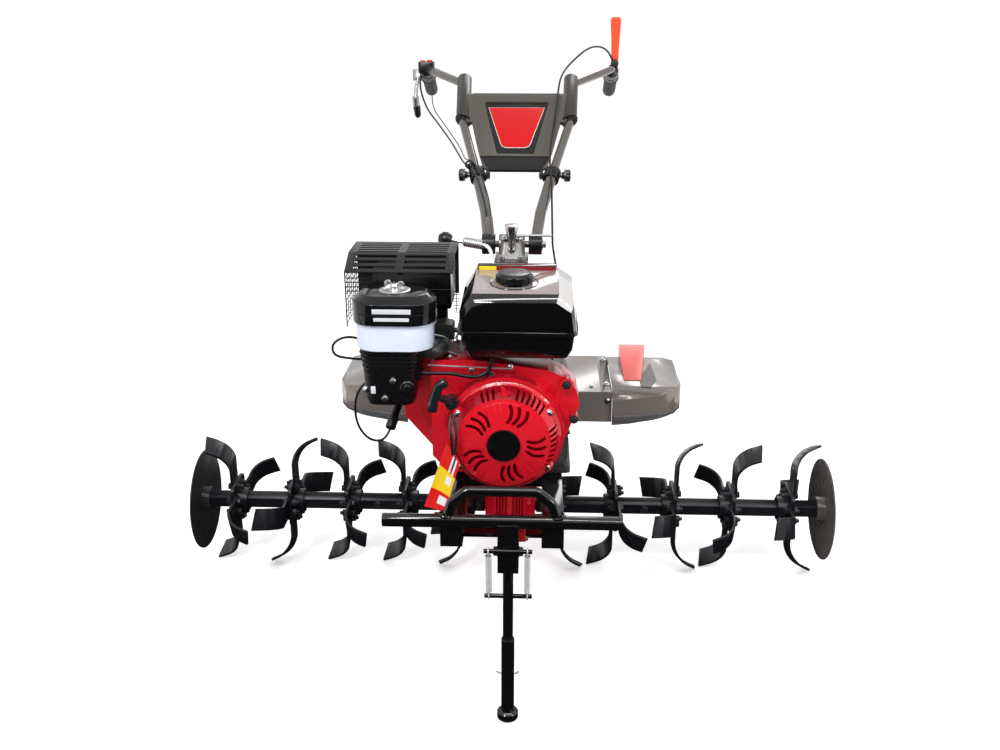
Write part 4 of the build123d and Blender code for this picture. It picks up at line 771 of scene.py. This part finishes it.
STRIP_Y = -305
STRIP_Z = 850.6
strip_yellow = surface("strip_yellow", (0.85, 0.62, 0.02), 0.3, shade=0.04, spots=20, pits=0.02, coat=0.3)
strip_red = surface("strip_red", (0.22, 0.008, 0.012), 0.3, shade=0.08, spots=20, pits=0.02, coat=0.3)
for name, left, right, paint, slot in (("ridge_strip_left", -57, -22, strip_yellow, None),
                                       ("ridge_strip_right", -20, 96, strip_red, "red_plastic")):
    strip = slab((right - left, 1.2, 8.4))
    spread(strip, [(((left + right) / 2, STRIP_Y, STRIP_Z),)], name, paint, "machine", edge=0.3)

# ---- Air filter and carburettor ----
# A moulded filter with a gloss lid held by a wing nut, a milky see-through ring and a ribbed black base.
# The die-cast carburettor behind it is worked by steel rods and the governor's arm.
lid_black = surface("lid_plastic", (0.004, 0.0045, 0.005), 0.14, spots=40, pits=0.04, pit_scale=300,
                    specular=0.35)
dressed("filter_lid", lid_black, 3.0)
milk_plastic = surface("milk_plastic", (0.6, 0.645, 0.77), 0.38, shade=0.05, spots=22, pits=0.04,
                       pit_scale=200)
fed(milk_plastic.node_tree.nodes["Principled BSDF"], {"Subsurface Weight": 0.35, "Subsurface Scale": 0.02})
dressed("filter_ring", milk_plastic, 1.5)
dressed("filter_base", black_plastic, 0.8)

LID_PLACE = Vector((-212, -421, 834))
washer = turned(48, [(30.4, 0.4), (30.4, 2.6), (28.5, 3.6), (22, 3.2), (20, 2.4), (10, 2.4), (9, 4.4)])
spread(washer, [(LID_PLACE,)], "lid_washer", bolt_steel, "machine")
wing_hub = turned(24, [(9, 3), (8.5, 9), (6.5, 14), (5, 15)])
wing_shape = turned(20, [(7.6, -1.7), (7.6, 1.7)])
wings = [copied(wing_hub, LID_PLACE)]
for way in (-1, 1):
    wings.append(copied(wing_shape, LID_PLACE + Vector((way * 13, -way * 5, 12.5)), (0.36, 1, 0)))
bpy.data.objects.remove(wing_hub)
bpy.data.objects.remove(wing_shape)
finished(joined(*wings), "lid_wing_nut", bolt_steel, "machine", edge=0.7)

LABEL_Y = -479.8
label_white = surface("label_white", (0.55, 0.56, 0.58), 0.4, shade=0.08, spots=40, pits=0.03, specular=0.2)
for name, length, height, x, z in (("lid_label_upper", 73, 9.5, -211.5, 809),
                                   ("lid_label_lower", 67, 7, -212, 793.5)):
    spread(slab((length, 1.6, height)), [((x, LABEL_Y, z),)], name, label_white, "machine",
           edge=0.5)
lid_bead = wire([(-275, -470, 801), (-258, -480.5, 801), (-212, -480.5, 801), (-166, -480.5, 801),
                 (-149, -470, 801)], 1.8)
finished(lid_bead, "lid_bead", lid_black, "machine")

BASE_SCREWS = [((-215, -466.5, 666), (0, -1, 0.05)), ((-232, -464.5, 629), (0, -1, 0.05)),
               ((-271, -453, 644), (-0.75, -0.66, 0))]
MARK_PLACE = (-254, -464.5, 647)
BREATHER_PLACE = (-188, -462, 652)
spread(turned(16, [(6.4, -1), (6.4, 1.2), (4.6, 3.6), (2.5, 4.2)]), BASE_SCREWS, "base_screws", bolt_steel,
       "machine")
spread(slab((9, 1.6, 15)), [(MARK_PLACE,)], "base_mark", label_white, "machine", edge=0.4)
breather = turned(24, [(15, -3), (15, 3), (12, 6), (8, 6), (7, 9), (5, 9.5)])
spread(breather, [(BREATHER_PLACE, (0.15, -1, 0))], "base_breather", black_plastic, "machine",
       edge=0.5)

bare_metal = surface("bare_metal", (0.4, 0.4, 0.41), 0.34, shade=0.25, spots=120, pits=0.25, metallic=0.9)
carb_metal = surface("carb_metal", (0.045, 0.047, 0.046), 0.36, shade=0.4, spots=90, pits=0.4, metallic=0.5)
dressed("carburettor", carb_metal, 0.8)
control_arm = wire([(-148, -412, 716), (-136, -412, 702), (-126, -412, 686), (-112, -412, 682),
                    (-68, -412, 680)], 6)
finished(control_arm, "governor_arm", dark_steel, "machine")
# name, points, diameter
LINKS = [
    ("throttle_rod", [(-150, -433, 688), (-90, -434, 686), (-40, -434, 685), (14, -434, 683)], 3.4),
    ("choke_rod", [(-146, -404, 742), (-120, -400, 738), (-104, -398, 722), (-92, -398, 716)], 3.0),
    ("return_rod", [(-138, -398, 726), (-118, -402, 706), (-98, -402, 702), (-84, -404, 690),
                    (-72, -404, 672)], 2.4),
]
for name, points, diameter in LINKS:
    finished(wire(points, diameter), name, bolt_steel, "machine")
LINK_SCREWS = ((-122, -400, 716), (-98, -398, 726), (-110, -404, 694), (-66, -424, 676), (10, -424, 683))
spread(turned(16, [(6, -3), (6, 1.5), (4.4, 3.4), (2.4, 4)]), [(place, FORWARD) for place in LINK_SCREWS],
       "link_screws", bolt_steel, "machine")
THROTTLE_PLACE = (-112, -396, 716)
spread(slab((46, 2.5, 26)), [(THROTTLE_PLACE,)], "throttle_plate", bare_metal, "machine",
       edge=0.8)

# ---- Muffler and guard ----
# The muffler is a black stamped box. A bent steel guard with long slots stands over it: its left side is
# perforated sheet, a perforated strip stands at its right front edge, and thin rungs cross the open corner.
matte_black = surface("stove_black", (0.0035, 0.0033, 0.0033), 0.24, shade=0.25, spots=30, pits=0.12,
                      pit_scale=300, specular=0.4)
guard_paint = surface("guard_paint", (0.0075, 0.0065, 0.006), 0.32, shade=0.2, spots=40, pits=0.12,
                      pit_scale=500, specular=0.3)
dressed("muffler", matte_black, 3.0)
guard = dressed("muffler_guard", guard_paint, 0)
# the plain sheet of the left side goes, and the perforated one takes its place
GUARD_SIDE = -319.3
only(guard)
opened("DESELECT")
bpy.ops.object.mode_set(mode="OBJECT")
for face in guard.data.polygons:
    face.select = all(guard.data.vertices[index].co.x * 1000 < GUARD_SIDE for index in face.vertices)
bpy.ops.object.mode_set(mode="EDIT")
bpy.ops.mesh.delete(type="FACE")
bpy.ops.object.mode_set(mode="OBJECT")
GUARD_FRONT = -346
# width, height, place of the middle, turn about Z, columns, rows and bar thickness of each perforated sheet
SHEETS = [
    (152, 106, (-320.5, -269, 798), math.pi / 2, 7, 9, 1.7),
    (11, 102, (-99.5, GUARD_FRONT - 0.5, 821), 0, 2, 14, 2.2),
]
strips = []
for wide, tall, place, turn, columns, rows, thick in SHEETS:
    bpy.ops.object.select_all(action="DESELECT")
    bpy.ops.mesh.primitive_grid_add(x_subdivisions=columns, y_subdivisions=rows, size=1)
    sheet = bpy.context.object
    sheet.scale = (wide / 1000, tall / 1000, 1)
    sheet.rotation_euler = (math.pi / 2, 0, turn)
    sheet.location = at(*place)
    bpy.ops.object.transform_apply()
    holes = sheet.modifiers.new("holes", "WIREFRAME")
    holes.thickness = thick / 1000
    holes.use_even_offset = False
    bpy.ops.object.modifier_apply(modifier=holes.name)
    strips.append(sheet)
finished(joined(*strips), "guard_strips", guard_paint, "machine")
RUNG_HEIGHTS = (811, 820, 829, 838)
rungs = [wire([(-321, GUARD_FRONT + 1, z), (-290, GUARD_FRONT + 1, z), (-262, GUARD_FRONT + 6, z)], 2.2)
         for z in RUNG_HEIGHTS]
finished(joined(*rungs), "guard_rungs", guard_paint, "machine")
seam = wire([(-268, -331, 812), (-230, -331.5, 812), (-190, -331.5, 812), (-150, -331.5, 812),
             (-112, -331, 812)], 2.4)
finished(seam, "muffler_seam", matte_black, "machine")

# ---- Fenders ----
# Folded plates in metallic grey-brown paint are bolted to the gear case, and moulded wings with a red
# wedge let into their tops carry on outwards. A bead rounds each wing's front edge.
fender_paint = surface("fender_paint", (0.18, 0.156, 0.142), 0.25, shade=0.04, spots=12, pits=0.012,
                       rough_spread=0.02, metallic=0.25, coat=0.7, coat_roughness=0.12)
# the wedge's red is lightened towards pink: partly its own red, partly the highlight washed over it, a
# painted highlight
fender_red = surface("fender_red", (0.78, 0.14, 0.125), 0.34, shade=0.05, spots=40, pits=0.04, coat=0.2)
# dark brown for the plate that stands for the shade on each wing's top: painted shade
valley_painted_shade = surface("valley_painted_shade", (0.045, 0.038, 0.034), 0.3, shade=0.5, spots=14, pits=0.06,
                       specular=0.3)
bead_paint = surface("bead_paint", (0.075, 0.074, 0.078), 0.18, shade=0.1, spots=30, pits=0.04, coat=0.5)
PLATE_TOP = 515
PLATE_BOLTS = ((223, 112), (189, -79), (100, -79), (223, -60))
LIP_BOLT = (224, -112, 494)
WING_BEAD = ((238, -114, 451), (274, -114, 451), (330, -109, 457), (367, -94, 464), (384, -70, 469),
             (387, -40, 471))
BEAD_THICK = 21
# a thin dark plate on each wing's top, beside the red wedge, stands for the shade in the hollow there:
# painted shade
VALLEY = ((300, -40), (336, 70), (340, -45), (322, -97), (300, -92))
VALLEY_LEVEL = 521.3
VALLEY_THICK = 0.9
for side, label in ((-1, "left"), (1, "right")):
    dressed(f"fender_plate_{label}", fender_paint, 0.8)
    dressed(f"fender_wing_{label}", fender_paint, 1.2)
    dressed(f"fender_insert_{label}", fender_red, 2.0)
    spots = [((side * x, y, PLATE_TOP), UP) for x, y in PLATE_BOLTS]
    spots.append(((side * LIP_BOLT[0], *LIP_BOLT[1:]), FORWARD))
    spread(turned(20, [(7.5, -0.5), (7.5, 1.4), (5.5, 1.8), (5.2, 3.4), (3.6, 4.6)]), spots,
           f"fender_bolts_{label}", bolt_steel, "machine")
    bead = wire([(side * x, y, z) for x, y, z in WING_BEAD], BEAD_THICK)
    finished(bead, f"wing_bead_{label}", bead_paint, "machine")
    bpy.ops.object.select_all(action="DESELECT")
    bpy.ops.mesh.primitive_circle_add(vertices=len(VALLEY), fill_type="NGON")
    valley = bpy.context.object
    for vertex, (x, y) in zip(valley.data.vertices, VALLEY):
        vertex.co = at(side * x, y, VALLEY_LEVEL)
    opened("SELECT")
    bpy.ops.mesh.extrude_region_move(TRANSFORM_OT_translate={"value": (0, 0, VALLEY_THICK / 1000)})
    faced_out()
    finished(valley, f"wing_painted_shade_{label}", valley_painted_shade, "machine")

# ---- Handlebar column, lock lever and shift lever ----
# A cast post on the gear case carries the tilting clamps. A plated flared lever locks them, and the bent
# shift lever with a knurled sleeve and a black knob reaches over the guard.
column_cast = surface("column_cast", (0.15, 0.145, 0.14), 0.34, shade=0.25, spots=50, pits=0.3, pit_scale=420,
                      metallic=0.6)
dressed("handlebar_column", column_cast, 1.0)
chrome = surface("chrome", (0.72, 0.73, 0.76), 0.22, shade=0.03, spots=30, pits=0.02, metallic=1.0)
dressed("shift_lever", chrome, 0.3)

TILT = (40, 821)
LEVER_PLACE = (0, -2, 823)
lock_lever = turned(32, [(7.4, -4), (7.4, 10), (9.4, 14), (12, 32), (15.3, 50), (15.3, 52), (13, 53.6),
                         (4, 53.8)])
spread(lock_lever, [(LEVER_PLACE, (0, -0.1, 1))], "lock_lever", chrome, "machine")
side_clamp = turned(40, [(23.5, -15.4), (24, -13), (24, 13), (23.5, 15.4), (14, 15.8), (14, 17)])
spread(side_clamp, both_ends(54, *TILT), "tilt_clamps", black_plastic, "handlebar", edge=0.6)
spread(bolt_head(16, 9, 12), both_ends(70, *TILT, 12), "tilt_bolt_heads", bolt_steel, "handlebar")
cap_bolts = [((x, -26, 804), (0, -1, 0.1)) for x in (-22, 22)]
cap_bolts += [((x, 8, 841), (0, -0.1, 1)) for x in (-18, 18)]
spread(bolt_head(10, 6, 8), cap_bolts, "column_bolts", bolt_steel, "machine")
lock_rod = wire([(12, -2, 850), (30, -1, 850.5), (60, 0, 850.5), (92, 0, 850.5)], 5.5)
finished(lock_rod, "lock_rod", chrome, "machine")

SLEEVE_PLACE = (-66, -14, 831)
KNOB_PLACE = (-152, 0, 841)
KNURLS = 9
KNURL_PITCH = 4.8
sleeve_rings = [(9.6, -1)]
for index in range(KNURLS):
    start = KNURL_PITCH * index
    sleeve_rings += [(11.2, 0.4 + start), (11.2, 3.2 + start), (10.4, 4.2 + start)]
sleeve_rings.append((9.6, 44))
knurled_grey = surface("knurled_steel", (0.42, 0.42, 0.43), 0.4, spots=150, pits=0.5, metallic=1.0)
spread(turned(28, sleeve_rings), [(SLEEVE_PLACE, (-0.98, 0.18, 0.13))], "shift_sleeve", knurled_grey,
       "machine")
knob = turned(28, [(4, -17), (10.4, -15.6), (16.4, -6), (16.4, 4), (9.4, 14.4), (3, 15.6)])
spread(knob, [(KNOB_PLACE, (-0.97, 0.1, 0.06))], "shift_knob", black_plastic, "machine",
       edge=1.2)

# ---- Handlebar, dash and grips ----
# Bent steel tube in metallic grey-brown. The lower bars take the upper ones at black clamps with knobs,
# a moulded dash bridges them under two shrouds, and ribbed rubber grips are pushed on the ends.
bar_paint = surface("bar_paint", (0.138, 0.125, 0.114), 0.17, shade=0.06, spots=25, pits=0.008, metallic=0.8,
                    coat=0.4, coat_roughness=0.08)
dash_plastic = surface("dash_plastic", (0.078, 0.07, 0.06), 0.38, shade=0.08, spots=150, pits=0.18,
                       pit_scale=1100, specular=0.3)
shroud_plastic = surface("shroud_plastic", (0.036, 0.032, 0.027), 0.34, spots=150, pits=0.18, pit_scale=1100,
                         specular=0.3)
SHROUD_FROM = 115
dressed("handlebar", bar_paint, 0.6)
dash = dressed("dash_panel", dash_plastic, 1.2)
repainted(dash, shroud_plastic, lambda face: abs(face.center.x) * 1000 > SHROUD_FROM)

CLAMP_AT = Vector((92, 250, 946))
KNOB_OUT = 28
BOLT_IN = 22
BAR_RISE = (Vector((136, 398, 1054)) - CLAMP_AT).normalized()
collars = []
inner_bolts = []
for way in (-1, 1):
    collars.append(((way * CLAMP_AT.x, *CLAMP_AT.yz), (way * BAR_RISE.x, *BAR_RISE.yz)))
    inner_bolts.append(((way * (CLAMP_AT.x - BOLT_IN), *CLAMP_AT.yz), (-way, 0, 0)))
spread(turned(36, [(15, -17.5), (20.4, -16.5), (20.4, 14.5), (15, 15.5)]), collars, "bar_collars",
       black_plastic, "handlebar", edge=1.0)
spread(turned(8, [(9, -4), (9.5, 2), (15.6, 5), (16, 15), (12, 18)]),
       both_ends(CLAMP_AT.x + KNOB_OUT, *CLAMP_AT.yz, 20), "clamp_knobs", black_plastic, "handlebar",
       edge=1.4)
spread(bolt_head(18, 9, 12), inner_bolts, "clamp_bolts", dark_steel, "handlebar")
TIES = [((-107, 249, 968), (0.35, -0.75, -0.4)), ((-113, 264, 970), (0.3, -0.8, -0.2))]
spread(ring(8.6, 5), TIES, "cable_ties", black_rubber, "handlebar")
TIE_BLOCK = (-98, 255, 958)
spread(slab((26, 14, 12)), [(TIE_BLOCK, BAR_RISE)], "tie_blocks", black_plastic, "handlebar",
       edge=3)

SHROUD_LOW = Vector((136.4, 407.7, 1060.3))
RIM_AXIS = Vector((0.318, -0.838, -0.546))
rims = [((way * SHROUD_LOW.x, *SHROUD_LOW.yz), (way * RIM_AXIS.x, *RIM_AXIS.yz)) for way in (-1, 1)]
spread(ring(19.8, 5), rims, "shroud_rims", black_rubber, "handlebar")

PANEL_AT = Vector((0, 462, 1102))
PANEL_TILT = math.radians(36.9)
UP_SLOPE = Vector((0, math.cos(PANEL_TILT), math.sin(PANEL_TILT)))
OFF_SLOPE = Vector((0, -math.sin(PANEL_TILT), math.cos(PANEL_TILT)))


def on_dash(name, reach, half_widths, level, thick, material, corner=0.0, corner_all=False):
    """Tapered plate lying on the dash, between two distances up its slope, with round corners."""
    low, high = reach
    half_low, half_high = half_widths
    plate = slab((2 * half_high, high - low, thick))
    for vertex in plate.data.vertices:
        if vertex.co.y < 0:
            vertex.co.x *= half_low / half_high
    if corner:
        bpy.ops.object.mode_set(mode="EDIT")
        bpy.ops.mesh.select_mode(type="EDGE")
        bpy.ops.mesh.select_all(action="DESELECT")
        bpy.ops.object.mode_set(mode="OBJECT")
        for edge in plate.data.edges:
            ends = [plate.data.vertices[index].co for index in edge.vertices]
            upright = abs(ends[0].z - ends[1].z) > 0.5 * thick / 1000
            edge.select = upright and (corner_all or ends[0].y < 0)
        bpy.ops.object.mode_set(mode="EDIT")
        bpy.ops.mesh.bevel(offset=corner / 1000, segments=5)
        bpy.ops.mesh.select_mode(type="VERT")
        bpy.ops.object.mode_set(mode="OBJECT")
    place = PANEL_AT + UP_SLOPE * (low + high) / 2 + OFF_SLOPE * (level + thick / 2)
    plate.matrix_world = Matrix.Translation(at(*place)) @ Matrix.Rotation(PANEL_TILT, 4, "X")
    return finished(plate, name, material, "handlebar", edge=0.25)


charcoal = surface("charcoal_plastic", (0.013, 0.013, 0.014), 0.4, spots=120, pits=0.15, pit_scale=1000,
                   specular=0.2)
badge_red = surface("badge_red", (0.56, 0.006, 0.008), 0.3, shade=0.04, spots=12, pits=0.02, specular=0.2)
pale_line = surface("pale_line", (0.75, 0.7, 0.66), 0.35, shade=0.05, spots=20, pits=0.02)
on_dash("dash_recess", (-197, -10), (45.5, 83.5), 6, 0.7, charcoal, 10, corner_all=True)
on_dash("badge_outline", (-175, -30.5), (34.6, 72.6), 6.8, 1.6, pale_line, 13)
on_dash("badge_field", (-173.6, -31.8), (33.2, 71.2), 7.4, 1.6, badge_red, 12)
on_dash("dash_lip", (-249, -206), (66, 86.5), 6.4, 1.6, charcoal, 4)
on_dash("dash_lip_edge", (-251, -243.5), (61, 70), 0.6, 7.2, gloss_black, 2)
# a thin strip in the bars' lighter metallic paint along the dash's top edge stands for the highlight there:
# painted highlight
on_dash("dash_top_painted_highlight", (17.6, 20.6), (113.4, 114), 8.2, 2.4, bar_paint)

grip_rubber = surface("grip_rubber", (0.01, 0.01, 0.01), 0.5, spots=200, pits=0.35)
grip_ring_grey = surface("grip_ring_grey", (0.2, 0.2, 0.205), 0.4, pits=0.1)
GRIP_LENGTH = 116
GRIP_OVER = 12
GRIP_END = Vector((262, 850, 1102))
GRIP_AXIS = (GRIP_END - Vector((260, 700, 1170))).normalized()
GRIP_START = GRIP_END - GRIP_AXIS * (GRIP_LENGTH - GRIP_OVER)
RIBS = 14
RIB_PITCH = 7
grip_rings = [(14, 0), (21.5, 0.5), (22, 4.5), (17.2, 8)]
for index in range(RIBS):
    start = RIB_PITCH * index
    grip_rings += [(18.4, 9.5 + start), (18.4, 13 + start), (16.8, 14.4 + start), (16.8, 15.4 + start)]
grip_rings += [(18, 110), (17.4, 114), (14, GRIP_LENGTH)]
for side, label in ((-1, "left"), (1, "right")):
    spot = ((side * GRIP_START.x, *GRIP_START.yz), (side * GRIP_AXIS.x, *GRIP_AXIS.yz))
    grip = spread(turned(32, grip_rings), [spot], f"ribbed_grip_{label}", grip_rubber, "handlebar")
    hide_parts(f"grip_{label}")
    spread(turned(32, [(12.2, -6), (15.5, -5.4), (19.5, -1), (19.5, 0.3), (12.2, 0.6)]), [spot],
           f"grip_collar_{label}", grip_ring_grey, "handlebar")

# ---- Hand controls ----
# The left pod holds red push buttons beside the plated clutch lever and its perch. A flat orange safety
# lever stands on the right bar in a black clamp with a knob.
dressed("control_pod", black_plastic, 1.5)
dressed("clutch_lever", bare_metal, 0.8)
orange_plastic = surface("orange_plastic", (0.85, 0.085, 0.03), 0.3, shade=0.05, spots=40, specular=0.3)
dressed("safety_lever", orange_plastic, 1.5)
button_red = surface("button_red", (0.62, 0.012, 0.02), 0.3, shade=0.05, spots=40, pits=0.03, coat=0.3)
BAR_END_AXIS = (0, 0.91, -0.41)
# name, pattern, spots, material, slot and edge
FITTINGS = [
    ("pod_buttons", turned(24, [(8.4, 0), (8.4, 4.6), (7, 6.2), (3, 6.6)]),
     [((-249, 690, 1187),), ((-268, 690, 1186),)], button_red, "red_plastic", 0),
    ("perch_clamp", turned(28, [(14.5, -13), (16.8, -11.5), (16.8, 11.5), (14.5, 13)]),
     [((-260.3, 722, 1160), BAR_END_AXIS)], dark_steel, "black_plastic", 0.6),
    ("lever_tip", turned(24, [(8.8, -2), (10, 0), (10, 20), (8.8, 29), (5.5, 34)]),
     [((-291, 706.5, 1067), (0.08, 0.25, -0.96))], black_plastic, "black_plastic", 0.5),
    ("perch_bolt", bolt_head(11, 6, 8), [((-284, 711.8, 1151), (0, -1, 0.2))], bolt_steel, "bare_metal", 0),
    ("lever_clamp", turned(28, [(14.5, -15), (18.4, -13.5), (18.4, 13.5), (14.5, 15)]),
     [((260.3, 726, 1158), BAR_END_AXIS)], black_plastic, "black_plastic", 0.8),
    ("lever_knob", turned(10, [(8, -12), (9, 0), (11.5, 2), (11.5, 9), (8.5, 11)]),
     [((267, 724, 1182), (0, -1, 0.15))], black_plastic, "black_plastic", 1.0),
]
for name, pattern, spots, material, slot, edge in FITTINGS:
    spread(pattern, spots, name, material, "handlebar", edge)

# ---- Size ----
# The finished model's box, in metres.
low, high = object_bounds()
